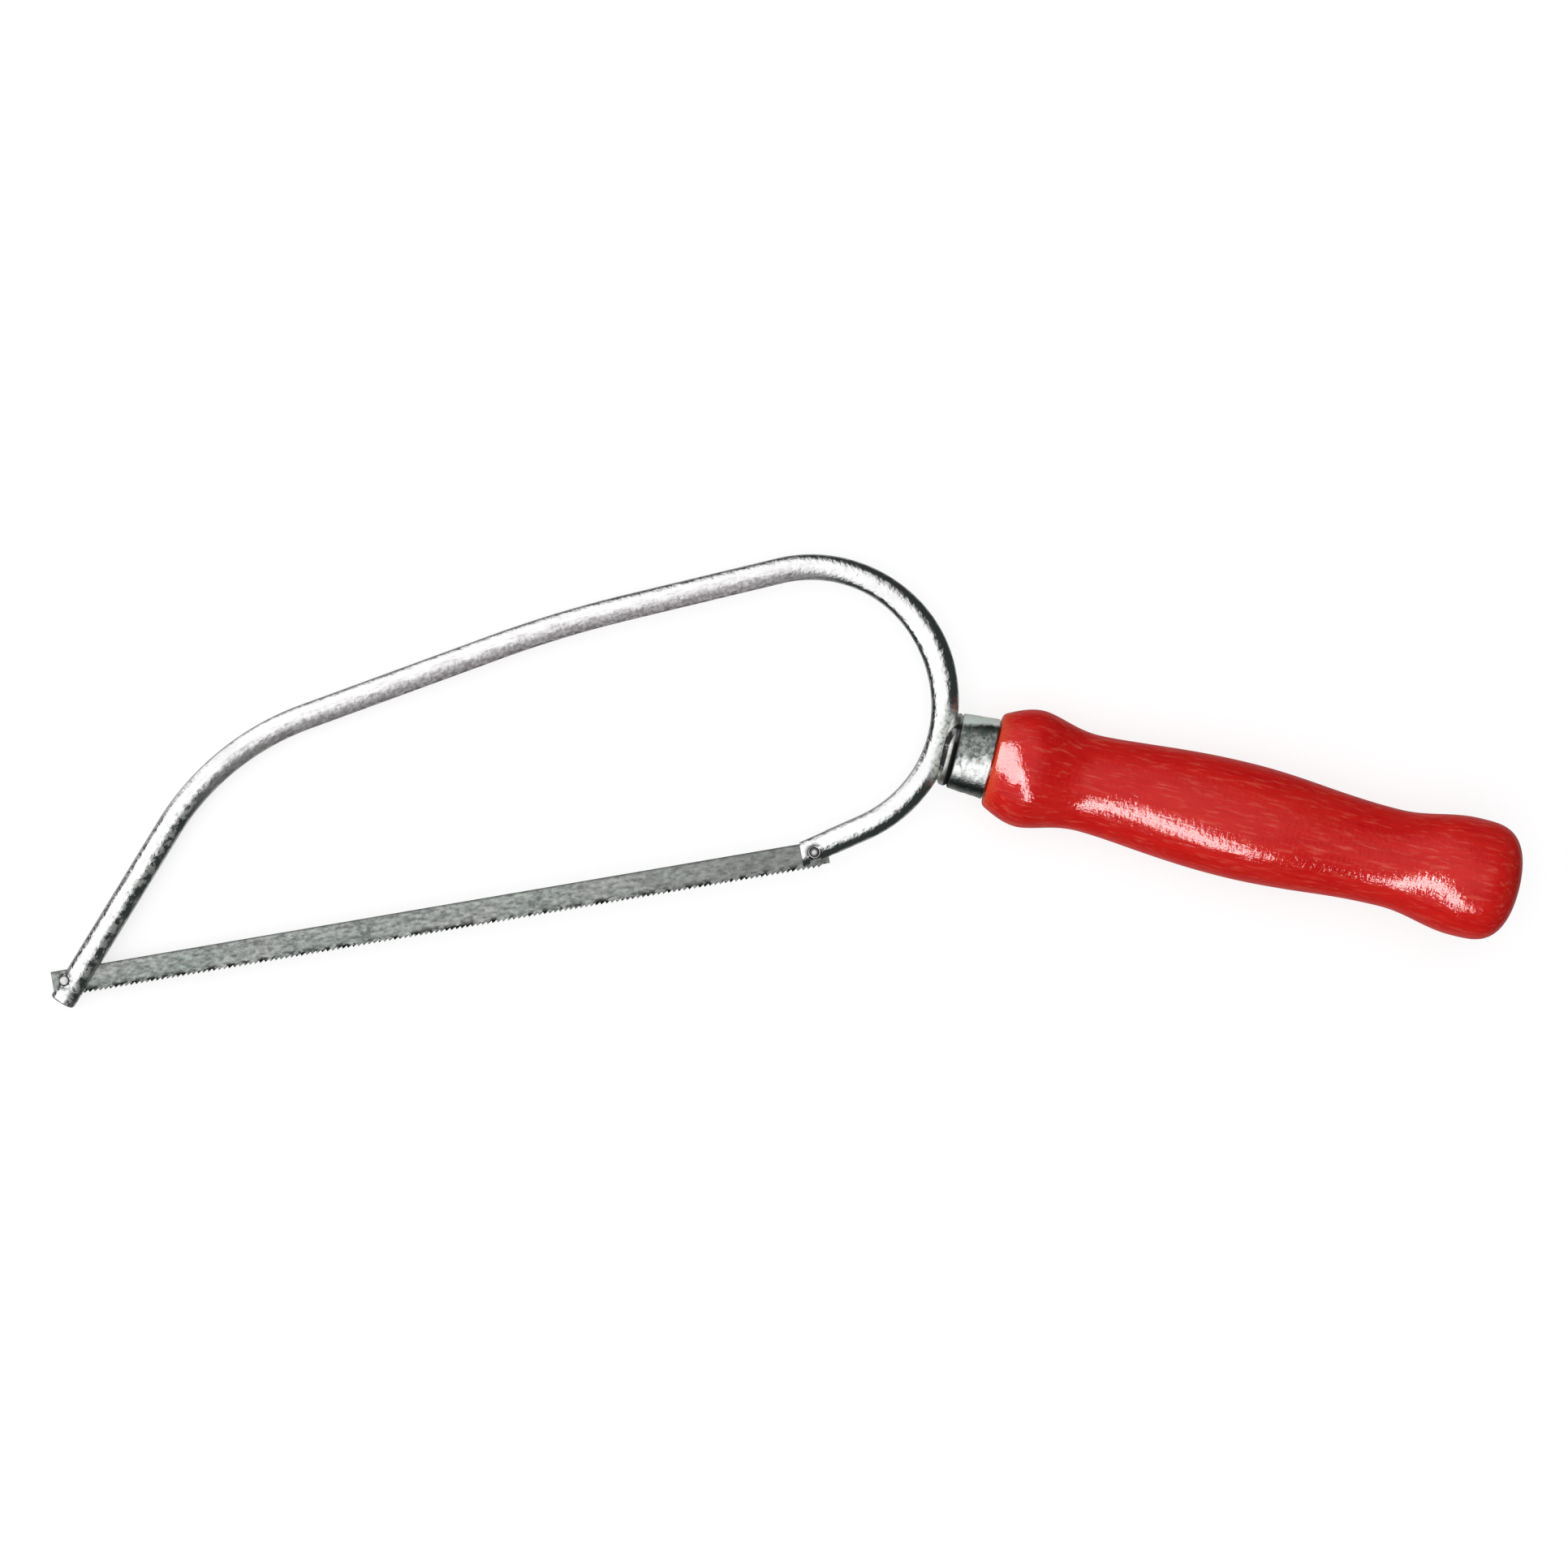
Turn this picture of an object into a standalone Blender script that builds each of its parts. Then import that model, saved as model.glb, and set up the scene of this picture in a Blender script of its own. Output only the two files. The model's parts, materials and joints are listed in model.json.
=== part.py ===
"""Mini hacksaw: a bow of one bent rod, a pinned blade and a turned wooden handle.

In the saw's own axes the front blade pin is the origin, x runs along the blade towards the
handle, y from the teeth towards the bow's rail and z square to the bow. The saw is then laid
on its side on z = 0, where it rests on its front bend and on the handle's front swell, with the
middle of its footprint on the origin.
"""
import math

import bmesh
import bpy
import numpy as np
from mathutils import Matrix, Vector

CLEARANCE = 0.0003

BLADE_LENGTH = 0.150
BLADE_WIDTH = 0.0050
BLADE_THICKNESS = 0.00065
PIN_FROM_END = 0.0026
PIN_FROM_BACK = 0.0020
PIN_DIAMETER = 0.0020
PIN_LENGTH = 0.0044
TOOTH_PITCH = 0.0010
TOOTH_DEPTH = 0.0005
TOOTH_RAKE = 0.2
TOOTHLESS_END = 0.0015

ROD_DIAMETER = 0.0049
ROD_CHAMFER = 0.0004
LEG_ANGLE = math.radians(48.8)
LEG_BELOW_PIN = 0.0040
FRONT_SEAT_DEPTH = 0.0009
FRONT_CORNER_HEIGHT = 0.0386
FRONT_BEND_RADIUS = 0.051
RAIL_CAMBER = 0.0040
RAIL_RADIUS = 0.227
CROWN_HEIGHT = 0.0558
CROWN_RADIUS = 0.0255
BACK_LEAN = math.radians(1.3)
HEEL_RADIUS = 0.0260
ARM_LENGTH = 0.0313
ARM_ANGLE = math.radians(14.1)
ARM_BEYOND_PIN = 0.0025
REAR_PIN_DROP = 0.0005

HANDLE_ANGLE = math.radians(23.6)
HANDLE_SEAT = math.radians(28.2)
COLLAR_DIAMETER = 0.0142
COLLAR_HORN = 0.0008
COLLAR_WEB = 0.0005
FERRULE_FRONT_DIAMETER = 0.0146
FERRULE_REAR_DIAMETER = 0.0156
FERRULE_LENGTH = 0.0068
FERRULE_WALL = 0.0006
FERRULE_EDGE = 0.0007
TANG_DIAMETER = 0.0044
TANG_TIP_DIAMETER = 0.0022
TANG_LENGTH = 0.072
HANDLE_LENGTH = 0.1026
SHOULDER_DIAMETER = 0.0178
SWELL_DIAMETER = 0.0228
SWELL_AT = 0.0075
WAIST_DIAMETER = 0.0187
WAIST_AT = 0.0187
BELLY_DIAMETER = 0.0224
BELLY_AT = 0.0484
NECK_DIAMETER = 0.0189
NECK_BEFORE_END = 0.0248
BUTT_DIAMETER = 0.0230
BUTT_ROUNDING = 0.0096
BUTT_FLAT_DIAMETER = 0.0098
BUTT_LENGTHWISE_POWER = 3.5
BUTT_CROSSWISE_POWER = 2.5

ROD_R = ROD_DIAMETER / 2
PIN_R = PIN_DIAMETER / 2
PIN_SPACING = BLADE_LENGTH - 2 * PIN_FROM_END
SLOT_WIDTH = BLADE_THICKNESS + 2 * CLEARANCE
NOTCH_R = PIN_R + CLEARANCE
REAR_PIN = Vector((PIN_SPACING, 0.0))

# Stations along the handle's axis, from the middle of the rod.
COLLAR_BACK = ROD_R + CLEARANCE + COLLAR_WEB
FERRULE_FRONT = COLLAR_BACK + CLEARANCE
FERRULE_BACK = FERRULE_FRONT + FERRULE_LENGTH
SHOULDER = FERRULE_BACK + CLEARANCE
SPIGOT_FRONT = FERRULE_FRONT + FERRULE_WALL + CLEARANCE
BUTT_END = SHOULDER + HANDLE_LENGTH

# Distances behind the handle's shoulder.
NECK_AT = HANDLE_LENGTH - NECK_BEFORE_END
BUTT_AT = HANDLE_LENGTH - BUTT_ROUNDING


def clear_scene():
    for obj in list(bpy.data.objects):
        bpy.data.objects.remove(obj, do_unlink=True)


def new_collection(name):
    found = bpy.data.collections.get(name)
    if found is None:
        found = bpy.data.collections.new(name)
        bpy.context.scene.collection.children.link(found)
    return found


def finish(name, colour, metallic, roughness, coat):
    mat = bpy.data.materials.new(name)
    mat.use_nodes = True
    shader = mat.node_tree.nodes["Principled BSDF"]
    shader.inputs["Base Color"].default_value = (*colour, 1.0)
    shader.inputs["Metallic"].default_value = metallic
    shader.inputs["Roughness"].default_value = roughness
    shader.inputs["Coat Weight"].default_value = coat
    return mat


def bright_plate():
    return finish("bright_plate", (0.82, 0.83, 0.84), 1.0, 0.12, 0.0)


def collar_plate():
    return finish("collar_plate", (0.76, 0.77, 0.78), 1.0, 0.22, 0.0)


def ferrule_plate():
    return finish("ferrule_plate", (0.78, 0.79, 0.80), 1.0, 0.16, 0.0)


def blade_steel():
    return finish("blade_steel", (0.33, 0.34, 0.33), 0.9, 0.42, 0.0)


def pin_steel():
    return finish("pin_steel", (0.45, 0.45, 0.46), 1.0, 0.35, 0.0)


def tang_steel():
    return finish("tang_steel", (0.30, 0.29, 0.28), 1.0, 0.50, 0.0)


def red_lacquer():
    return finish("red_lacquer", (0.56, 0.015, 0.02), 0.0, 0.28, 0.8)


def heading(angle):
    return Vector((math.cos(angle), math.sin(angle)))


def left_of(direction):
    return Vector((-direction.y, direction.x))


def turn_between(before, after):
    return math.atan2(before.x * after.y - before.y * after.x, before.dot(after))


def corner_arcs(corners, radii):
    """Start, centre, radius and turn of each corner's arc; arcs that would meet are shortened."""
    runs = [(b - a) for a, b in zip(corners, corners[1:])]
    turns = [turn_between(a, b) for a, b in zip(runs, runs[1:])]
    reach = [r * math.tan(abs(t) / 2) for r, t in zip(radii, turns)]
    for i in range(len(reach) - 1):
        share = runs[i + 1].length / (reach[i] + reach[i + 1])
        if share < 1.0:
            reach[i] *= share
            reach[i + 1] *= share
    arcs = []
    for corner, run, turn, length in zip(corners[1:-1], runs, turns, reach):
        ahead = run.normalized()
        radius = length / math.tan(abs(turn) / 2)
        start = corner - ahead * length
        centre = start + left_of(ahead) * math.copysign(radius, turn)
        arcs.append((start, centre, radius, turn))
    return arcs


def path_points(corners, arcs, step=math.radians(6)):
    """Points along the straight runs and the arcs between the first and the last corner."""
    points = [corners[0]]
    for start, centre, radius, turn in arcs:
        count = max(4, math.ceil(abs(turn) / step))
        arm = start - centre
        for k in range(count + 1):
            swing = turn * k / count
            turned = Vector((
                arm.x * math.cos(swing) - arm.y * math.sin(swing),
                arm.x * math.sin(swing) + arm.y * math.cos(swing),
            ))
            point = centre + turned
            if (point - points[-1]).length > ROD_CHAMFER:
                points.append(point)
    points.append(corners[-1])
    return points


def bow_corners():
    """Tip of the leg, front bend, middle of the rail, crown, heel and end of the lower arm."""
    leg = heading(LEG_ANGLE)
    pin_on_axis = -left_of(leg) * (ROD_R - FRONT_SEAT_DEPTH)
    tip = pin_on_axis - leg * LEG_BELOW_PIN
    front = pin_on_axis + leg * ((FRONT_CORNER_HEIGHT - pin_on_axis.y) / leg.y)
    arm = heading(ARM_ANGLE)
    rear_on_axis = REAR_PIN + left_of(arm) * REAR_PIN_DROP
    end = rear_on_axis - arm * (ARM_BEYOND_PIN + ROD_DIAMETER)
    heel = rear_on_axis + arm * ARM_LENGTH
    rise = CROWN_HEIGHT - heel.y
    crown = heel + Vector((-rise * math.tan(BACK_LEAN), rise))
    chord = crown - front
    rail = (front + crown) / 2 + left_of(chord.normalized()) * RAIL_CAMBER
    return [tip, front, rail, crown, heel, end]


CORNERS = bow_corners()
ARCS = corner_arcs(CORNERS, [FRONT_BEND_RADIUS, RAIL_RADIUS, CROWN_RADIUS, HEEL_RADIUS])
HANDLE_AXIS = heading(-HANDLE_ANGLE)
HANDLE_ROOT = ARCS[-1][1] + heading(-HANDLE_SEAT) * ARCS[-1][2]


def place(obj, collection, parent, mat=None):
    collection.objects.link(obj)
    obj.parent = parent
    if mat is not None:
        obj.data.materials.clear()
        obj.data.materials.append(mat)
    return obj


def as_mesh(curve_obj, name):
    """Mesh object with the shape of a curve object, its caps welded; the curve is removed."""
    bpy.context.scene.collection.objects.link(curve_obj)
    bpy.context.view_layer.update()
    depsgraph = bpy.context.evaluated_depsgraph_get()
    mesh = bpy.data.meshes.new_from_object(curve_obj.evaluated_get(depsgraph))
    mesh.name = name
    bm = bmesh.new()
    bm.from_mesh(mesh)
    bmesh.ops.remove_doubles(bm, verts=bm.verts, dist=1e-7)
    bmesh.ops.recalc_face_normals(bm, faces=bm.faces)
    bm.to_mesh(mesh)
    bm.free()
    obj = bpy.data.objects.new(name, mesh)
    obj.matrix_world = curve_obj.matrix_world.copy()
    bpy.data.objects.remove(curve_obj, do_unlink=True)
    return obj


def rod_along(name, points, radius, sides=20):
    """Round rod along points in the bow's plane, with both end edges chamfered."""
    curve = bpy.data.curves.new(name + "_path", "CURVE")
    curve.dimensions = "3D"
    curve.bevel_depth = radius
    curve.bevel_resolution = (sides - 4) // 2
    curve.use_fill_caps = True
    first = points[0] + (points[1] - points[0]).normalized() * ROD_CHAMFER
    last = points[-1] + (points[-2] - points[-1]).normalized() * ROD_CHAMFER
    stops = [points[0], first, *points[1:-1], last, points[-1]]
    spline = curve.splines.new("POLY")
    spline.points.add(len(stops) - 1)
    for point, stop in zip(spline.points, stops):
        point.co = (stop.x, stop.y, 0.0, 1.0)
        point.radius = 1.0
    slim = 1.0 - ROD_CHAMFER / radius
    spline.points[0].radius = slim
    spline.points[-1].radius = slim
    return as_mesh(bpy.data.objects.new(name + "_path", curve), name)


def plate(name, outlines, thickness):
    """Flat plate of the given thickness, centred on the bow's plane; inner outlines become holes."""
    curve = bpy.data.curves.new(name + "_outline", "CURVE")
    curve.dimensions = "2D"
    curve.fill_mode = "BOTH"
    curve.extrude = thickness / 2
    for outline in outlines:
        spline = curve.splines.new("POLY")
        spline.points.add(len(outline) - 1)
        spline.use_cyclic_u = True
        for point, (x, y) in zip(spline.points, outline):
            point.co = (x, y, 0.0, 1.0)
    return as_mesh(bpy.data.objects.new(name + "_outline", curve), name)


def circle(centre, radius, count=20):
    angles = [2 * math.pi * k / count for k in range(count)]
    return [(centre[0] + radius * math.cos(a), centre[1] + radius * math.sin(a)) for a in angles]


def turned(name, profile, closed=False, steps=40):
    """Body turned about local z from (radius, station) points that run down the outer side."""
    mesh = bpy.data.meshes.new(name)
    bm = bmesh.new()
    verts = [bm.verts.new((radius, 0.0, station)) for radius, station in profile]
    for a, b in zip(verts, verts[1:]):
        bm.edges.new((a, b))
    if closed:
        bm.edges.new((verts[-1], verts[0]))
    bm.to_mesh(mesh)
    bm.free()
    obj = bpy.data.objects.new(name, mesh)
    screw = obj.modifiers.new("turn", "SCREW")
    screw.axis = "Z"
    screw.steps = steps
    screw.render_steps = steps
    screw.use_merge_vertices = True
    screw.merge_threshold = 1e-6
    screw.use_smooth_shade = True
    return obj


def on_handle_axis(obj):
    """Local z laid along the handle's axis, with station zero in the middle of the rod."""
    obj.location = (HANDLE_ROOT.x, HANDLE_ROOT.y, 0.0)
    obj.rotation_euler = (0.0, math.pi / 2, -HANDLE_ANGLE)
    return obj


def cut(obj, cutter):
    boolean = obj.modifiers.new("cut_" + cutter.name, "BOOLEAN")
    boolean.operation = "DIFFERENCE"
    boolean.solver = "EXACT"
    boolean.object = cutter


def make_cutter(obj, collection, parent):
    place(obj, collection, parent)
    obj.hide_render = True
    obj.display_type = "WIRE"
    return obj


def smooth(obj, angle=35):
    obj.data.shade_smooth()
    obj.data.set_sharp_from_angle(angle=math.radians(angle))
    return obj


def block(name, length, width, height, centre, angle):
    """Box turned by an angle in the bow's plane about its centre."""
    mesh = bpy.data.meshes.new(name)
    bm = bmesh.new()
    bmesh.ops.create_cube(bm, size=1.0, matrix=Matrix.Diagonal((length, width, height, 1.0)))
    bm.to_mesh(mesh)
    bm.free()
    obj = bpy.data.objects.new(name, mesh)
    obj.location = (centre.x, centre.y, 0.0)
    obj.rotation_euler = (0.0, 0.0, angle)
    return obj


def slot_cutter(name, end, inward, depth):
    """Blade slot in a rod's end: depth is measured along the rod from its end."""
    over = ROD_DIAMETER
    centre = end + inward * (depth - over) / 2
    angle = math.atan2(inward.y, inward.x)
    return block(name, depth + over, 2 * ROD_DIAMETER, SLOT_WIDTH, centre, angle)


def notch_cutter(name, pin, outward):
    """Pin seat: half round about the pin, open along the outward direction, through both tines."""
    start = math.atan2(outward.y, outward.x) + math.pi / 2
    arc = [start + math.pi * k / 12 for k in range(13)]
    seat = [pin + heading(a) * NOTCH_R for a in arc]
    mouth = [seat[-1] + outward * 2 * ROD_DIAMETER, seat[0] + outward * 2 * ROD_DIAMETER]
    return plate(name, [[(p.x, p.y) for p in seat + mouth]], 2 * ROD_DIAMETER)


def front_slot_depth():
    """From the leg's tip past the highest point of the blade's back inside the rod."""
    across = 2 * ROD_R - FRONT_SEAT_DEPTH
    back = (PIN_FROM_BACK + across * math.cos(LEG_ANGLE)) / math.sin(LEG_ANGLE)
    return LEG_BELOW_PIN + back + CLEARANCE


def rear_slot_depth():
    """From the trimmed arm past the blade's rear corner."""
    corner = PIN_FROM_END * math.cos(ARM_ANGLE) + PIN_FROM_BACK * math.sin(ARM_ANGLE)
    return ARM_BEYOND_PIN + ROD_DIAMETER + corner + 2 * CLEARANCE


def make_bow(parts, cutters, parent):
    obj = rod_along("bow", path_points(CORNERS, ARCS), ROD_R)
    leg = heading(LEG_ANGLE)
    arm = heading(ARM_ANGLE)
    front_slot = slot_cutter("front_slot", CORNERS[0], leg, front_slot_depth())
    rear_slot = slot_cutter("rear_slot", CORNERS[-1], arm, rear_slot_depth())
    front_notch = notch_cutter("front_notch", Vector((0.0, 0.0)), left_of(leg))
    rear_notch = notch_cutter("rear_notch", REAR_PIN, Vector((0.0, -1.0)))
    trim_length = 4 * ROD_DIAMETER
    trim_at = REAR_PIN - Vector((ARM_BEYOND_PIN + trim_length / 2, 0.0))
    arm_trim = block("arm_trim", trim_length, trim_length, trim_length, trim_at, 0.0)
    place(obj, parts, parent, bright_plate())
    for cutter in (arm_trim, front_slot, rear_slot, front_notch, rear_notch):
        make_cutter(cutter, cutters, parent)
        cut(obj, cutter)
    return smooth(obj)


def blade_outline():
    """Straight back and ends, with raked teeth along the lower edge that point forward."""
    front = -PIN_FROM_END
    rear = PIN_SPACING + PIN_FROM_END
    top = PIN_FROM_BACK
    root = PIN_FROM_BACK - BLADE_WIDTH + TOOTH_DEPTH
    toothed = BLADE_LENGTH - 2 * TOOTHLESS_END
    count = round(toothed / TOOTH_PITCH)
    points = [(rear, top), (front, top), (front, root)]
    for k in range(count):
        at = front + TOOTHLESS_END + toothed * k / count
        points.append((at, root))
        points.append((at + TOOTH_RAKE * TOOTH_PITCH, root - TOOTH_DEPTH))
    points.append((rear - TOOTHLESS_END, root))
    points.append((rear, root))
    return points


def make_blade(parts, parent):
    holes = [circle((0.0, 0.0), NOTCH_R), circle(REAR_PIN, NOTCH_R)]
    obj = plate("blade", [blade_outline(), *holes], BLADE_THICKNESS)
    return place(obj, parts, parent, blade_steel())


def make_pin(name, at, parts, parent):
    mesh = bpy.data.meshes.new(name)
    bm = bmesh.new()
    bmesh.ops.create_cone(
        bm, cap_ends=True, segments=20, radius1=PIN_R, radius2=PIN_R, depth=PIN_LENGTH)
    bm.to_mesh(mesh)
    bm.free()
    obj = bpy.data.objects.new(name, mesh)
    obj.location = (at.x, at.y, 0.0)
    place(obj, parts, parent, pin_steel())
    return smooth(obj)


def make_tang(parts, rod_space, parent):
    """Spike that stands on the rod and tapers into the handle."""
    straight = SPIGOT_FRONT + FERRULE_LENGTH
    profile = [
        (0.0, TANG_LENGTH),
        (TANG_TIP_DIAMETER / 4, TANG_LENGTH),
        (TANG_TIP_DIAMETER / 2, TANG_LENGTH - TANG_TIP_DIAMETER / 2),
        (TANG_DIAMETER / 2, straight),
        (TANG_DIAMETER / 2, 0.0),
        (0.0, 0.0),
    ]
    obj = on_handle_axis(turned("tang", profile, steps=24))
    place(obj, parts, parent, tang_steel())
    cut(obj, rod_space)
    return obj


def make_collar(parts, rod_space, parent):
    """Ring between rod and ferrule, hollowed to hug the rod."""
    inner = TANG_DIAMETER / 2 + CLEARANCE
    outer = COLLAR_DIAMETER / 2
    edge = COLLAR_WEB / 2
    profile = [
        (inner, COLLAR_BACK),
        (outer - edge, COLLAR_BACK),
        (outer, COLLAR_BACK - edge),
        (outer, COLLAR_HORN + edge),
        (outer - edge, COLLAR_HORN),
        (inner, COLLAR_HORN),
    ]
    obj = on_handle_axis(turned("collar", profile, closed=True, steps=36))
    place(obj, parts, parent, collar_plate())
    cut(obj, rod_space)
    return obj


def quarter(centre_r, centre_s, radius, first, last, count=4):
    """Points of an arc in a turned profile, between two angles from the radius direction."""
    angles = [first + (last - first) * k / count for k in range(count + 1)]
    return [(centre_r + radius * math.cos(a), centre_s + radius * math.sin(a)) for a in angles]


def make_ferrule(parts, parent):
    """Drawn cup with a rounded front edge and a hole for the tang, open to the handle."""
    front = FERRULE_FRONT_DIAMETER / 2
    rear = FERRULE_REAR_DIAMETER / 2
    hole = TANG_DIAMETER / 2 + CLEARANCE
    rounding = quarter(front - FERRULE_EDGE, FERRULE_FRONT + FERRULE_EDGE, FERRULE_EDGE, 0.0, -math.pi / 2)
    profile = [
        (rear, FERRULE_BACK),
        *rounding,
        (hole, FERRULE_FRONT),
        (hole, FERRULE_FRONT + FERRULE_WALL),
        (front - FERRULE_WALL - FERRULE_EDGE / 2, FERRULE_FRONT + FERRULE_WALL),
        (front - FERRULE_WALL, FERRULE_FRONT + FERRULE_WALL + FERRULE_EDGE / 2),
        (front - FERRULE_WALL, FERRULE_BACK),
    ]
    obj = on_handle_axis(turned("ferrule", profile, closed=True))
    return place(obj, parts, parent, ferrule_plate())


def ease(x, lead):
    """Half cosine wave from 0 to 1; a lead below 1 hurries its start."""
    return (1 - math.cos(math.pi * x ** lead)) / 2


def handle_radius(at):
    """Radius at a distance behind the shoulder: half waves join swell, waist, belly, neck and butt.

    Each mark has its place, its diameter and the lead of the wave that reaches it.
    """
    marks = [
        (SWELL_AT, SWELL_DIAMETER, 1.0),
        (WAIST_AT, WAIST_DIAMETER, 0.85),
        (BELLY_AT, BELLY_DIAMETER, 0.78),
        (NECK_AT, NECK_DIAMETER, 1.0),
        (BUTT_AT, BUTT_DIAMETER, 1.05),
    ]
    if at <= SWELL_AT:
        rise = math.sin(math.pi / 2 * at / SWELL_AT)
        return (SHOULDER_DIAMETER + (SWELL_DIAMETER - SHOULDER_DIAMETER) * rise) / 2
    for (a, wide_a, _), (b, wide_b, lead) in zip(marks, marks[1:]):
        if at <= b:
            return (wide_a + (wide_b - wide_a) * ease((at - a) / (b - a), lead)) / 2
    inside = 1 - butt_fraction(at) ** BUTT_LENGTHWISE_POWER
    return BUTT_DIAMETER / 2 * inside ** (1 / BUTT_CROSSWISE_POWER)


def butt_fraction(at):
    """How far into the rounded end a station lies; the end is cut flat at the flat's diameter."""
    across = (BUTT_FLAT_DIAMETER / BUTT_DIAMETER) ** BUTT_CROSSWISE_POWER
    full = (1 - across) ** (1 / BUTT_LENGTHWISE_POWER)
    return full * (at - BUTT_AT) / BUTT_ROUNDING


def handle_stations():
    """Distances behind the shoulder, closer together where the profile turns quickly."""
    front = np.linspace(0.0, SWELL_AT, 6)[:-1]
    middle = [np.linspace(a, b, n)[:-1] for a, b, n in (
        (SWELL_AT, WAIST_AT, 8), (WAIST_AT, BELLY_AT, 9), (BELLY_AT, NECK_AT, 9), (NECK_AT, BUTT_AT, 9))]
    end = BUTT_AT + BUTT_ROUNDING * np.sin(np.linspace(0.0, math.pi / 2, 9))
    return np.concatenate([front, *middle, end])


def make_handle(parts, parent):
    """Turned handle with a flat butt, a spigot in the ferrule and a bore for the tang."""
    spigot = FERRULE_FRONT_DIAMETER / 2 - FERRULE_WALL - CLEARANCE
    bore = TANG_DIAMETER / 2 + CLEARANCE
    bore_tip = TANG_TIP_DIAMETER / 2 + CLEARANCE
    straight = SPIGOT_FRONT + FERRULE_LENGTH
    outside = [(handle_radius(at), SHOULDER + at) for at in handle_stations()]
    profile = [
        (0.0, BUTT_END),
        *reversed(outside),
        (spigot, SHOULDER),
        (spigot, SPIGOT_FRONT + FERRULE_EDGE),
        (spigot - FERRULE_EDGE, SPIGOT_FRONT),
        (bore, SPIGOT_FRONT),
        (bore, straight),
        (bore_tip, TANG_LENGTH + CLEARANCE),
        (0.0, TANG_LENGTH + 2 * CLEARANCE),
    ]
    obj = on_handle_axis(turned("handle", profile, steps=36))
    return place(obj, parts, parent, red_lacquer())


def resting_lean():
    """Axis and angle of the lean at which the front bend and the handle's swell both touch the ground."""
    _, centre, radius, turn = ARCS[0]
    along = heading(LEG_ANGLE + turn / 2)
    bend = centre + left_of(along) * radius
    swell = HANDLE_ROOT + HANDLE_AXIS * (SHOULDER + SWELL_AT)
    apart = (bend - swell).dot(left_of(along))
    angle = math.asin((SWELL_DIAMETER / 2 - ROD_R) / apart)
    return Vector((along.x, along.y, 0.0)), angle


def lay_down(saw, parts):
    """Lean the saw until it lies as it rests on a bench, and stand its box on the origin."""
    axis, angle = resting_lean()
    saw.rotation_mode = "QUATERNION"
    saw.rotation_quaternion = Matrix.Rotation(-angle, 3, axis).to_quaternion()
    bpy.context.view_layer.update()
    depsgraph = bpy.context.evaluated_depsgraph_get()
    corners = []
    for obj in parts.objects:
        solid = obj.evaluated_get(depsgraph)
        mesh = solid.to_mesh()
        points = np.empty(3 * len(mesh.vertices), dtype=np.float32)
        mesh.vertices.foreach_get("co", points)
        solid.to_mesh_clear()
        world = np.array(obj.matrix_world)
        placed = points.reshape(-1, 3) @ world[:3, :3].T + world[:3, 3]
        corners += [placed.min(axis=0), placed.max(axis=0)]
    low = np.min(corners, axis=0)
    high = np.max(corners, axis=0)
    saw.location = (-(low[0] + high[0]) / 2, -(low[1] + high[1]) / 2, -low[2])
    bpy.context.view_layer.update()


def build():
    clear_scene()
    parts = new_collection("mini_hacksaw")
    cutters = new_collection("mini_hacksaw_cutters")
    frame = bpy.context.scene.collection
    saw = bpy.data.objects.new("saw_axes", None)
    frame.objects.link(saw)
    pivot = bpy.data.objects.new("blade_pivot", None)
    frame.objects.link(pivot)
    pivot.parent = saw

    make_bow(parts, cutters, saw)
    rod_space = rod_along("rod_space", path_points(CORNERS, ARCS), ROD_R + CLEARANCE)
    make_cutter(rod_space, cutters, saw)
    make_tang(parts, rod_space, saw)
    make_collar(parts, rod_space, saw)
    make_ferrule(parts, saw)
    make_handle(parts, saw)
    make_blade(parts, pivot)
    make_pin("front_blade_pin", Vector((0.0, 0.0)), parts, pivot)
    make_pin("rear_blade_pin", REAR_PIN, parts, pivot)
    lay_down(saw, parts)


build()
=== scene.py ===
"""Looks of the mini hacksaw: plated bow, pinned blade and red lacquered handle.

Shapes are worked out in the saw's own axes, which the frame gives: the front blade pin is the
origin, x runs along the blade towards the handle, y from the teeth towards the bow's rail and z
square to the bow. All sizes are in metres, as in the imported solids.
"""
import json
import math

import bmesh
import bpy
import numpy as np
from mathutils import Matrix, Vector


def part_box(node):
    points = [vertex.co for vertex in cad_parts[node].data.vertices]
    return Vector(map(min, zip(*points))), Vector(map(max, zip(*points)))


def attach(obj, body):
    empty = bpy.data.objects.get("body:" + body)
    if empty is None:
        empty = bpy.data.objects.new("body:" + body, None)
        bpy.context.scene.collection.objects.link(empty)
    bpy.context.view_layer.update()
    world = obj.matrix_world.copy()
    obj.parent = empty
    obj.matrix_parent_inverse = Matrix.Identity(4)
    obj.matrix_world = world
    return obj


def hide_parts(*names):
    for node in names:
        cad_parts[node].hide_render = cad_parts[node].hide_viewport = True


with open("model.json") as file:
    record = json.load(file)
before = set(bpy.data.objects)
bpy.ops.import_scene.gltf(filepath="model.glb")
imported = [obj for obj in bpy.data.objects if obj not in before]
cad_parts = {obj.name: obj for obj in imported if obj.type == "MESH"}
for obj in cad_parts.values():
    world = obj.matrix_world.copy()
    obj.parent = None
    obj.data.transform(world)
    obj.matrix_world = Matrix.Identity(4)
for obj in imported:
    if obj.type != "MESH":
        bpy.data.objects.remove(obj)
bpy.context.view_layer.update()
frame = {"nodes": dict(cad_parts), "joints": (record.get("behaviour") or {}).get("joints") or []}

CLEARANCE = 0.0003

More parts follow.
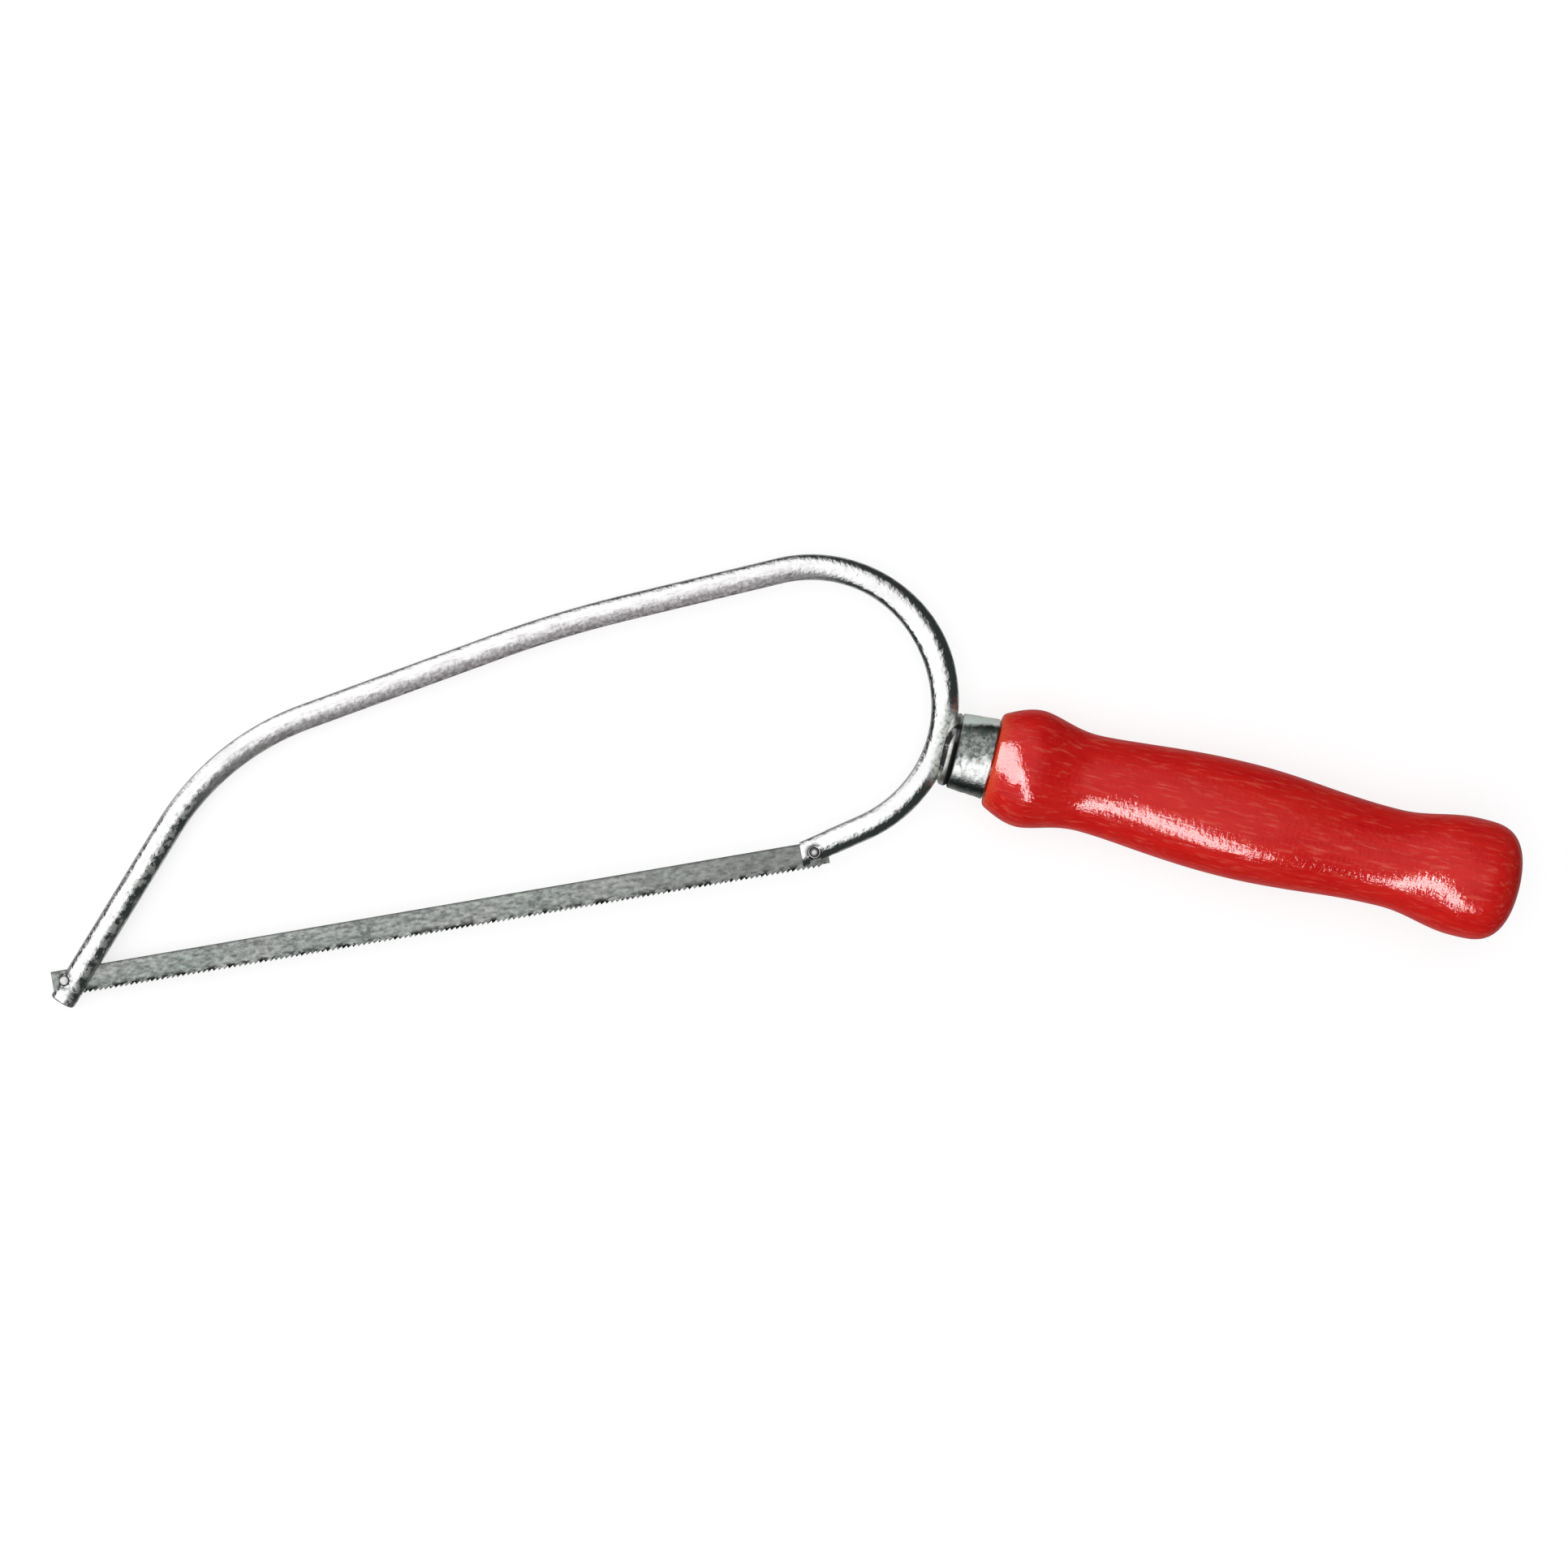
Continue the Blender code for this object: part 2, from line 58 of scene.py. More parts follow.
# The blade and its pins.
BLADE_LENGTH = 0.150
BLADE_WIDTH = 0.0050
BLADE_THICKNESS = 0.00065
BLADE_EDGE = 0.00011
EDGE_CORNER = 0.3
PIN_FROM_END = 0.0026
PIN_FROM_BACK = 0.0020
PIN_DIAMETER = 0.0020
PIN_LENGTH = 0.0044
PIN_DOME = 0.0002
PIN_FIT = 0.00010
TOOTH_PITCH = 0.0010
TOOTH_DEPTH = 0.0005
TOOTH_RAKE = 0.2
TOOTHLESS_END = 0.0015
SET_WAVE = 0.0050
SET_HEIGHT = 0.0012
SET_OFFSET = 0.00008
SET_CURVE = 1.5

# The bow.
ROD_DIAMETER = 0.0049
ROD_EDGE = 0.0005
ARCH_FLATTENING = 0.15
ARCH_FLAT_AT = 0.036
ARCH_FLAT_LENGTH = 0.014
LEG_ANGLE = math.radians(48.8)
LEG_BELOW_PIN = 0.0040
FRONT_SEAT_DEPTH = 0.0009
FRONT_CORNER_HEIGHT = 0.0386
FRONT_BEND_RADIUS = 0.051
RAIL_CAMBER = 0.0040
RAIL_RADIUS = 0.227
CROWN_HEIGHT = 0.0558
CROWN_RADIUS = 0.0255
BACK_LEAN = math.radians(1.3)
HEEL_RADIUS = 0.0260
ARM_LENGTH = 0.0313
ARM_ANGLE = math.radians(14.1)
ARM_BEYOND_PIN = 0.0025
REAR_PIN_DROP = 0.0005

# The collar, the ferrule, the tang and the handle.
HANDLE_ANGLE = math.radians(23.6)
HANDLE_SEAT = math.radians(28.2)
COLLAR_DIAMETER = 0.0142
COLLAR_HORN = 0.0008
COLLAR_BACK = 0.00325
COLLAR_THINNEST = 0.0004
COLLAR_BEAD = 0.0006
COLLAR_FIT = 0.0001
CRESCENT_POWER = 3.0
CRESCENT_REACH = 0.0007
FERRULE_FRONT = 0.00330
FERRULE_LENGTH = 0.00705
FERRULE_FRONT_DIAMETER = 0.0146
FERRULE_REAR_DIAMETER = 0.0156
FERRULE_WALL = 0.0006
FERRULE_EDGE = 0.0005
FERRULE_LIP = 0.0002
FERRULE_DENTS = 0.00005
TANG_DIAMETER = 0.0044
TANG_TIP_DIAMETER = 0.0022
TANG_LENGTH = 0.072
HANDLE_LENGTH = 0.1026
SHOULDER_DIAMETER = 0.0178
SHOULDER_EDGE = 0.0006
SWELL_DIAMETER = 0.0228
SWELL_AT = 0.0075
WAIST_DIAMETER = 0.0187
WAIST_AT = 0.0187
WAIST_LEAD = 0.85
BELLY_DIAMETER = 0.0224
BELLY_AT = 0.0484
BELLY_LEAD = 0.78
NECK_DIAMETER = 0.0189
NECK_AT = 0.0778
NECK_LEAD = 1.0
BUTT_DIAMETER = 0.0230
BUTT_LEAD = 1.05
BUTT_ROUNDING = 0.0096
BUTT_FLAT_DIAMETER = 0.0098
BUTT_LENGTHWISE_POWER = 3.5
BUTT_CROSSWISE_POWER = 2.5
HANDLE_DENTS = 0.00006
LATHE_RINGS = 0.000010

# How finely the surfaces are divided, and the waves on uneven ones: how many, with how many turns.
ROD_STEP = 0.0005
ROD_SIDES = 56
PIN_SIDES = 40
PIN_HOLE_SIDES = 32
NOTCH_STEPS = 25
COLLAR_SIDES = 144
FERRULE_SIDES = 128
HANDLE_SIDES = 128
MERGE_DISTANCE = 1e-7
WAVE_COUNT = 14
MOST_TURNS = 4

# Sizes that follow from those above.
ROD_R = ROD_DIAMETER / 2
PIN_R = PIN_DIAMETER / 2
TANG_HOLE_R = TANG_DIAMETER / 2 + CLEARANCE
FERRULE_BACK = FERRULE_FRONT + FERRULE_LENGTH
SHOULDER = FERRULE_BACK + CLEARANCE
SPIGOT_FRONT = FERRULE_FRONT + FERRULE_WALL + CLEARANCE
BUTT_AT = HANDLE_LENGTH - BUTT_ROUNDING
BLADE_FRONT = -PIN_FROM_END
FRONT_PIN = np.zeros(2)
REAR_PIN = np.array([BLADE_LENGTH - 2 * PIN_FROM_END, 0.0])
TOOTH_ROOT = PIN_FROM_BACK - BLADE_WIDTH + TOOTH_DEPTH

# Patterns: a piece's own map is in millimetres, streaks shift the rod's dull side by up to as many of
# them as their push, and all noise has the same roughness.
MILLIMETRES = 1000.0
STREAK_PUSH = 5.0
NOISE_ROUGHNESS = 0.55

# The photograph's view, in the saw's axes: its middle, its width on the bow's plane, its tilt and
# the camera's distance.
VIEW_CENTRE = np.array([0.1413, 0.0138, 0.0])
VIEW_WIDTH = 0.2991
VIEW_TILT = math.radians(9.7)
VIEW_DISTANCE = 0.75

# The lamps: where the grip's lamps aim, how far off they are, how they lean from the camera and
# turn about their own middle, how large they are and how brightly each glows.
GRIP_MIDDLE = 0.06
LAMP_DISTANCE = 0.9
LONG_BOX_LEAN = math.radians(52)
LONG_BOX_SLANT = 1.5
LONG_BOX_SHIFT = 0.3
LONG_BOX_SIZE = (1.1, 0.2)
LONG_BOX_GLOW = 42.0
FRONT_BOX_LEAN = math.radians(46)
FRONT_BOX_TILT = 0.45
FRONT_BOX_SIZE = (0.52, 1.2)
FRONT_BOX_GLOW = 38.0
FILL_RISE = 0.2
FILL_SIZE = (0.9, 0.6)
FILL_GLOW = 1.0
OVERHEAD_DISTANCE = 1.2
OVERHEAD_SIZE = (1.2, 1.2)
OVERHEAD_GLOW = 1.15

# The sky: a direction is a turn in the photograph and a lean from the camera, and an edge is the
# pair of cosines that it fades between.
DOME_TURN = math.radians(170)
DOME_LEAN = math.radians(54)
DOME_EDGE = (0.05, 0.45)
FLAG_TURN = math.radians(208)
FLAG_LEAN = math.radians(90)
FLAG_EDGE = (0.35, 0.60)
FLAG_TOP = (-0.20, -0.04)
PAPER_EDGE = (0.55, 0.80)
PAPER_SHARE = 0.35

# The table top: how far it reaches and lies under the saw, and its glow for the saw and the camera.
TABLE_HALF = 3.0
TABLE_DROP = 0.0001
TABLE_GLOW = 0.40
TABLE_GLOW_SEEN = 0.75


def unit(vector):
    """Vector of length one in the same direction."""
    return vector / np.linalg.norm(vector)


def heading(angle):
    """Direction in the bow's plane at an angle to the blade."""
    return np.array([math.cos(angle), math.sin(angle)])


def left_of(direction):
    """Direction in the bow's plane, a quarter turn to the left."""
    return np.array([-direction[1], direction[0]])


def saw_axes():
    """Front pin's middle, and unit rows along the blade, from teeth to rail and square to the bow."""
    hinge = frame["joints"][0]
    origin = np.array(hinge["pos_m"])
    square = -unit(np.array(hinge["axis"]))
    along = np.mean(np.array(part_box("rear_blade_pin")), axis=0) - origin
    along = unit(along - square * (along @ square))
    return origin, np.array([along, np.cross(square, along), square])


def bow_corners():
    """Tip of the leg, front bend, middle of the rail, crown, heel and end of the lower arm."""
    leg = heading(LEG_ANGLE)
    pin_on_axis = -left_of(leg) * (ROD_R - FRONT_SEAT_DEPTH)
    tip = pin_on_axis - leg * LEG_BELOW_PIN
    front = pin_on_axis + leg * ((FRONT_CORNER_HEIGHT - pin_on_axis[1]) / leg[1])
    arm = heading(ARM_ANGLE)
    rear_on_axis = REAR_PIN + left_of(arm) * REAR_PIN_DROP
    end = rear_on_axis - arm * (ARM_BEYOND_PIN + ROD_DIAMETER)
    heel = rear_on_axis + arm * ARM_LENGTH
    rise = CROWN_HEIGHT - heel[1]
    crown = heel + np.array([-rise * math.tan(BACK_LEAN), rise])
    rail = (front + crown) / 2 + left_of(unit(crown - front)) * RAIL_CAMBER
    return np.array([tip, front, rail, crown, heel, end])


ORIGIN, AXES = saw_axes()
CORNERS = bow_corners()
HEEL = CORNERS[-2]
BEND_RADII = np.array([FRONT_BEND_RADIUS, RAIL_RADIUS, CROWN_RADIUS, HEEL_RADIUS])
RUNS = np.diff(CORNERS, axis=0)
HEADINGS = np.unwrap(np.arctan2(RUNS[:, 1], RUNS[:, 0]))
TURNS = np.diff(HEADINGS)
REACH = BEND_RADII * np.tan(np.abs(TURNS) / 2)
BACK_RUN = unit(RUNS[-2])
HEEL_START = HEEL - BACK_RUN * REACH[-1]
HEEL_CENTRE = HEEL_START - left_of(BACK_RUN) * HEEL_RADIUS
HANDLE_ROOT = HEEL_CENTRE + heading(-HANDLE_SEAT) * HEEL_RADIUS
HANDLE_AXIS = heading(-HANDLE_ANGLE)
HANDLE_SIDE = left_of(HANDLE_AXIS)


def placed(points):
    """Points in the saw's axes, put into the row frame."""
    return ORIGIN + np.asarray(points) @ AXES


SAW_FRAME = (ORIGIN, AXES)
HANDLE_ROWS = np.array([[*HANDLE_AXIS, 0.0], [*HANDLE_SIDE, 0.0], [0.0, 0.0, 1.0]]) @ AXES
HANDLE_FRAME = (placed([*HANDLE_ROOT, 0.0]), HANDLE_ROWS)


def bow_path(step):
    """Distances, places and headings along the rod's middle.

    The heading is constant on the straight runs and turns evenly along each bend; the path is the
    running sum of short steps in that heading.
    """
    lengths = np.empty(len(RUNS) + len(TURNS))
    lengths[0::2] = np.linalg.norm(RUNS, axis=1) - np.append(REACH, 0.0) - np.insert(REACH, 0, 0.0)
    lengths[1::2] = BEND_RADII * np.abs(TURNS)
    breaks = np.insert(np.cumsum(lengths), 0, 0.0)
    turned_to = np.repeat(HEADINGS, 2)
    fine = np.linspace(0.0, ROD_EDGE, 7)
    even = np.arange(2 * ROD_EDGE, breaks[-1] - 2 * ROD_EDGE, step)
    at = np.concatenate([fine, even, breaks[-1] - fine[::-1]])
    way = np.interp((at[1:] + at[:-1]) / 2, breaks, turned_to)
    steps = np.diff(at)[:, None] * np.stack([np.cos(way), np.sin(way)], axis=1)
    path = CORNERS[0] + np.vstack([np.zeros((1, 2)), np.cumsum(steps, axis=0)])
    return at, path, np.interp(at, breaks, turned_to)


def running_length(points, wrap=False):
    """Distance along a line at each of its points, and back at the first one if it wraps."""
    if wrap:
        points = np.vstack([points, points[:1]])
    return np.insert(np.cumsum(np.linalg.norm(np.diff(points, axis=0), axis=1)), 0, 0.0)


def circle_angles(sides):
    """Angles that divide a circle evenly."""
    return np.linspace(0.0, 2 * math.pi, sides, endpoint=False)


def unevenness(along, angle, waves, seed):
    """Sum of sine waves that run along and around a turned piece, lower the shorter they are."""
    draw = np.random.default_rng(seed)
    count = draw.uniform(1.0, waves, WAVE_COUNT)
    turns = draw.integers(-MOST_TURNS, MOST_TURNS + 1, WAVE_COUNT)
    phase = draw.uniform(0.0, 2 * math.pi, WAVE_COUNT)
    share = (along - along.min()) / (along.max() - along.min())
    swing = 2 * math.pi * count * share[..., None] + turns * angle[..., None] + phase
    return (np.sin(swing) / (1.0 + count / 3 + np.abs(turns) / 2)).sum(axis=-1) / 3


def surface(name, points, along, around, wrap_along=False):
    """Closed mesh of a grid of points in the saw's axes, wrapped across and, if asked, along.

    Neighbouring points make quads, rows that shrink to a point close the ends, and the two running
    lengths become the map "flow" in millimetres.
    """
    rows, columns = points.shape[:2]
    index = np.arange(rows * columns).reshape(rows, columns)
    index = np.hstack([index, index[:, :1]])
    if wrap_along:
        index = np.vstack([index, index[:1]])
    flow = np.stack(np.broadcast_arrays(along[:, None], around[None, :]), axis=-1) * MILLIMETRES
    here = slice(None, -1)
    after = slice(1, None)
    corners = [(here, here), (after, here), (after, after), (here, after)]
    quads = np.stack([index[corner] for corner in corners], axis=-1).reshape(-1, 4)
    maps = np.stack([flow[corner] for corner in corners], axis=-2)
    mesh = bpy.data.meshes.new(name)
    mesh.from_pydata(placed(points).reshape(-1, 3).tolist(), [], quads.tolist())
    mesh.uv_layers.new(name="flow").data.foreach_set("uv", maps.astype(np.float32).ravel())
    return tidied(mesh)


def tidied(mesh):
    """Mesh with doubled points merged and its faces turned outwards."""
    bm = bmesh.new()
    bm.from_mesh(mesh)
    bmesh.ops.remove_doubles(bm, verts=bm.verts, dist=MERGE_DISTANCE)
    bmesh.ops.recalc_face_normals(bm, faces=bm.faces)
    bm.to_mesh(mesh)
    bm.free()
    return mesh


def turned(name, radius, station, angle, wrap_along=False):
    """Turned surface about the handle's axis.

    A point lies at its station along the axis and at its radius from it, by the cosine of its
    angle in the bow's plane and by the sine square to it.
    """
    radius, station, angle = np.broadcast_arrays(radius, station, angle)
    out = (radius * np.cos(angle))[..., None] * HANDLE_SIDE
    flat = HANDLE_ROOT + station[..., None] * HANDLE_AXIS + out
    grid = np.concatenate([flat, (radius * np.sin(angle))[..., None]], axis=-1)
    along = running_length(np.stack([radius[:, 0], station[:, 0]], axis=1), wrap_along)
    around = np.linspace(0.0, 2 * math.pi * radius.max(), radius.shape[1] + 1)
    return surface(name, grid, along, around, wrap_along)


def prism(name, outline, height):
    """Closed body of a flat outline in the bow's plane, spread to both sides by half its height."""
    flat = np.asarray(outline)
    count = len(flat)
    low = np.column_stack([flat, np.full(count, -height / 2)])
    high = np.column_stack([flat, np.full(count, height / 2)])
    ring = np.arange(count)
    after = np.roll(ring, -1)
    sides = np.stack([ring, after, after + count, ring + count], axis=1).tolist()
    ends = [ring[::-1].tolist(), (ring + count).tolist()]
    mesh = bpy.data.meshes.new(name)
    mesh.from_pydata(placed(np.vstack([low, high])).tolist(), [], sides + ends)
    return tidied(mesh)


def carved(mesh, cutters):
    """Mesh with the cutters' room taken out of it."""
    collection = bpy.context.scene.collection
    whole = bpy.data.objects.new(mesh.name + "_whole", mesh)
    collection.objects.link(whole)
    tools = [bpy.data.objects.new(cutter.name, cutter) for cutter in cutters]
    for tool in tools:
        collection.objects.link(tool)
        cut = whole.modifiers.new(tool.name, "BOOLEAN")
        cut.operation = "DIFFERENCE"
        cut.solver = "EXACT"
        cut.object = tool
    view = bpy.context.evaluated_depsgraph_get()
    result = bpy.data.meshes.new_from_object(whole.evaluated_get(view))
    for obj in [whole, *tools]:
        bpy.data.objects.remove(obj, do_unlink=True)
    result.materials.clear()
    return result


def make_piece(name, mesh, mat, body, node, sharp=35.0):
    """Object that stands for a CAD node, rides on its body and is smooth up to the sharp angle."""
    mesh.shade_smooth()
    mesh.set_sharp_from_angle(angle=math.radians(sharp))
    mesh.materials.append(mat)
    piece = bpy.data.objects.new(name, mesh)
    bpy.context.scene.collection.objects.link(piece)
    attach(piece, body)
    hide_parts(node)
    return piece


def slot_outline(end, inward, depth):
    """Blade slot in a rod's end, to a depth along the rod from that end."""
    side = left_of(inward) * ROD_DIAMETER
    outer = end - inward * ROD_DIAMETER
    inner = end + inward * depth
    return [outer + side, outer - side, inner - side, inner + side]


def notch_outline(pin, outward):
    """Pin seat, half round about the pin and open along the outward direction."""
    first = math.atan2(outward[1], outward[0]) + math.pi / 2
    angle = first + np.linspace(0.0, math.pi, NOTCH_STEPS)
    seat = pin + (PIN_R + PIN_FIT) * np.stack([np.cos(angle), np.sin(angle)], axis=1)
    mouth = seat[[-1, 0]] + outward * 2 * ROD_DIAMETER
    return np.vstack([seat, mouth])


def bow_cutters():
    """Square trim of the arm's end, a blade slot in each end and a pin notch in each fork."""
    leg = heading(LEG_ANGLE)
    arm = heading(ARM_ANGLE)
    slot_width = BLADE_THICKNESS + 2 * CLEARANCE
    across = 2 * ROD_R - FRONT_SEAT_DEPTH
    back = (PIN_FROM_BACK + across * math.cos(LEG_ANGLE)) / math.sin(LEG_ANGLE)
    front_depth = LEG_BELOW_PIN + back + CLEARANCE
    corner = PIN_FROM_END * math.cos(ARM_ANGLE) + PIN_FROM_BACK * math.sin(ARM_ANGLE)
    rear_depth = ARM_BEYOND_PIN + ROD_DIAMETER + corner + 2 * CLEARANCE
    wide = 2 * ROD_DIAMETER
    trim_to = REAR_PIN[0] - ARM_BEYOND_PIN
    trim_from = trim_to - 2 * wide
    trim = [(trim_from, -wide), (trim_to, -wide), (trim_to, wide), (trim_from, wide)]
    return [
        prism("arm_trim", trim, wide),
        prism("front_slot", slot_outline(CORNERS[0], leg, front_depth), slot_width),
        prism("rear_slot", slot_outline(CORNERS[-1], arm, rear_depth), slot_width),
        prism("front_notch", notch_outline(FRONT_PIN, left_of(leg)), wide),
        prism("rear_notch", notch_outline(REAR_PIN, np.array([0.0, -1.0])), wide),
    ]


def bow_rod(mat):
    """Circle carried along the bow's path, its end edges rounded, then slotted and notched.

    At the back of the arch, where the rod was bent most, the circle is flattened into an ellipse.
    """
    at, path, way = bow_path(ROD_STEP)
    inset = np.clip(ROD_EDGE - np.minimum(at, at[-1] - at), 0.0, ROD_EDGE)
    radius = ROD_R - ROD_EDGE + np.sqrt(ROD_EDGE ** 2 - inset ** 2)
    radius = np.pad(radius, 1)
    at = np.pad(at, 1, mode="edge")
    way = np.pad(way, 1, mode="edge")
    path = np.pad(path, ((1, 1), (0, 0)), mode="edge")
    angle = circle_angles(ROD_SIDES)
    across = np.stack([-np.sin(way), np.cos(way)], axis=1)
    behind = np.linalg.norm(path - [HEEL[0], ARCH_FLAT_AT], axis=1)
    flat = 1.0 + ARCH_FLATTENING * np.exp(-(behind / ARCH_FLAT_LENGTH) ** 2)
    out = ((radius * flat)[:, None] * np.cos(angle))[..., None]
    level = path[:, None] + out * across[:, None]
    up = ((radius / np.sqrt(flat))[:, None] * np.sin(angle))[..., None]
    around = np.linspace(0.0, 2 * math.pi * ROD_R, len(angle) + 1)
    mesh = surface("bow_rod", np.concatenate([level, up], axis=-1), at, around)
    mesh = carved(mesh, bow_cutters())
    return make_piece("bow_rod", mesh, mat, "frame", "bow")


def tooth_line(x):
    """Lower edge of the blade: each tooth drops steeply to its tip and runs back up in a straight."""
    along = x - BLADE_FRONT - TOOTHLESS_END
    share = np.mod(along / TOOTH_PITCH, 1.0)
    depth = np.where(share < TOOTH_RAKE, share / TOOTH_RAKE, (1 - share) / (1 - TOOTH_RAKE))
    toothed = (along > 0) & (along < BLADE_LENGTH - 2 * TOOTHLESS_END)
    return TOOTH_ROOT - TOOTH_DEPTH * np.where(toothed, depth, 0.0)


def blade_columns():
    """Places along the blade: five in each tooth, one of them at its tip, and a few at the ends."""
    count = round((BLADE_LENGTH - 2 * TOOTHLESS_END) / TOOTH_PITCH)
    tooth = np.array([0.0, TOOTH_RAKE / 2, TOOTH_RAKE, 0.46, 0.72])
    teeth = (np.arange(count)[:, None] + tooth).ravel() * TOOTH_PITCH
    end = np.linspace(0.0, TOOTHLESS_END, 4)
    return BLADE_FRONT + np.concatenate([end[:-1], TOOTHLESS_END + teeth, BLADE_LENGTH - end[::-1]])


def tooth_set(x, y):
    """Sideways swing of the toothed edge: an even wave that fades out up the blade and near its ends."""
    fade_up = np.clip((TOOTH_ROOT + SET_HEIGHT - y) / SET_HEIGHT, 0.0, 1.0) ** SET_CURVE
    from_end = np.minimum(x - BLADE_FRONT, BLADE_FRONT + BLADE_LENGTH - x)
    fade_end = np.clip((from_end - 2 * PIN_FROM_END) / SET_WAVE, 0.0, 1.0)
    wave = SET_OFFSET * np.sin(2 * math.pi * x / SET_WAVE) * fade_end
    return wave[:, None] * fade_up


def blade_strip(mat):
    """Thin rounded rectangle carried along the blade, with teeth cut into its lower edge and set.

    Each section runs from the middle of the back down one side to the toothed edge and up the other
    side. The ends are closed, and the two pin holes are cut out.
    """
    x = blade_columns()
    lower = tooth_line(x)[:, None]
    top = PIN_FROM_BACK
    half = BLADE_THICKNESS / 2
    edge = BLADE_EDGE
    share = np.array([0.0, 0.3, 0.55, 0.7, 0.8, 0.9, 1.0])
    side = top - edge + (lower + edge - top + edge) * share
    back = np.broadcast_to([top, top, top - edge * EDGE_CORNER], (len(x), 3))
    y = np.concatenate([back, side, lower, lower, side[:, ::-1], back[:, :0:-1]], axis=1)
    back_z = np.array([0.0, half - edge, half - edge * EDGE_CORNER])
    side_z = np.full(len(share), half)
    edge_z = np.array([half - edge, edge - half])
    z = np.concatenate([back_z, side_z, edge_z, -side_z, -back_z[:0:-1]])
    grid = np.stack([np.broadcast_to(x[:, None], y.shape), y, z + tooth_set(x, y)], axis=-1)
    ends = np.repeat(grid[[0, -1]].mean(axis=1, keepdims=True), grid.shape[1], axis=1)
    grid = np.concatenate([ends[:1], grid, ends[1:]])
    around = running_length(np.stack([y[0], z], axis=1), wrap=True)
    mesh = surface("blade_strip", grid, np.pad(x, 1, mode="edge"), around)
    angle = circle_angles(PIN_HOLE_SIDES)
    ring = (PIN_R + PIN_FIT) * np.stack([np.cos(angle), np.sin(angle)], axis=1)
    holes = [
        prism("front_hole", ring + FRONT_PIN, PIN_LENGTH),
        prism("rear_hole", ring + REAR_PIN, PIN_LENGTH),
    ]
    mesh = carved(mesh, holes)
    return make_piece("blade_strip", mesh, mat, "blade", "blade", sharp=25.0)


def blade_pin(name, node, at, mat):
    """Cross pin turned about its own axis, with its ends rounded into low domes."""
    half = PIN_LENGTH / 2
    swing = np.linspace(0.0, math.pi / 2, 10)
    radius = np.concatenate([PIN_R * np.sin(swing), [PIN_R, PIN_R]])
    height = np.concatenate([half - PIN_DOME * (1 - np.cos(swing)), [half / 2, 0.0]])
    radius = np.concatenate([radius, radius[-2::-1]])
    height = np.concatenate([height, -height[-2::-1]])
    angle = circle_angles(PIN_SIDES)
    flat = at + radius[:, None, None] * np.stack([np.cos(angle), np.sin(angle)], axis=-1)
    up = np.broadcast_to(height[:, None, None], (*flat.shape[:2], 1))
    along = running_length(np.stack([radius, height], axis=1))
    around = np.linspace(0.0, 2 * math.pi * PIN_R, len(angle) + 1)
    mesh = surface(name, np.concatenate([flat, up], axis=-1), along, around)
    return make_piece(name, mesh, mat, "blade", node)


def rod_station(out, up):
    """Station at which a line along the handle's axis leaves the bent rod's surface.

    The rod is a ring of the heel's radius there. At a height off the bow's plane its surface lies
    at the ring's radius plus the root of the rod's radius squared less that height squared, and the
    line meets it where its distance from the heel's centre is that much.
    """
    wide = ROD_R + COLLAR_FIT
    ring = HEEL_RADIUS + np.sqrt(np.clip(wide ** 2 - up ** 2, 0.0, None))
    root = HANDLE_ROOT - HEEL_CENTRE
    aside = root @ HANDLE_SIDE + out
    leaves = np.sqrt(np.clip(ring ** 2 - aside ** 2, 0.0, None)) - root @ HANDLE_AXIS
    return np.where(np.abs(up) < wide, leaves, COLLAR_HORN)


def collar_front(radius, angle):
    """Front of the collar: a crescent that reaches out over the rod's sides and stays off the rod."""
    crescent = COLLAR_HORN + CRESCENT_REACH * np.abs(np.cos(angle)) ** CRESCENT_POWER
    on_rod = rod_station(radius * np.cos(angle), radius * np.sin(angle))
    return np.minimum(np.maximum(crescent, on_rod), COLLAR_BACK - COLLAR_THINNEST)


def collar_saddle(mat):
    """Ring between rod and ferrule: front face, a rim that bulges in a half ellipse, and back face."""
    angle = circle_angles(COLLAR_SIDES)[None, :]
    foot = COLLAR_DIAMETER / 2 - COLLAR_BEAD
    face = TANG_HOLE_R + (foot - TANG_HOLE_R) * np.linspace(0.0, 1.0, 16)[:, None]
    front = collar_front(face, angle)
    swing = np.linspace(0.0, math.pi, 17)[1:-1, None]
    rim = foot + COLLAR_BEAD * np.sin(swing)
    rim_station = COLLAR_BACK - (COLLAR_BACK - front[-1:]) * (1 + np.cos(swing)) / 2
    back = np.full_like(face, COLLAR_BACK)
    radius = np.concatenate([face, rim, face[::-1]])
    station = np.concatenate([front, rim_station, np.broadcast_to(back, front.shape)])
    mesh = turned("collar_saddle", radius, station, angle, wrap_along=True)
    return make_piece("collar_saddle", mesh, mat, "frame", "collar")


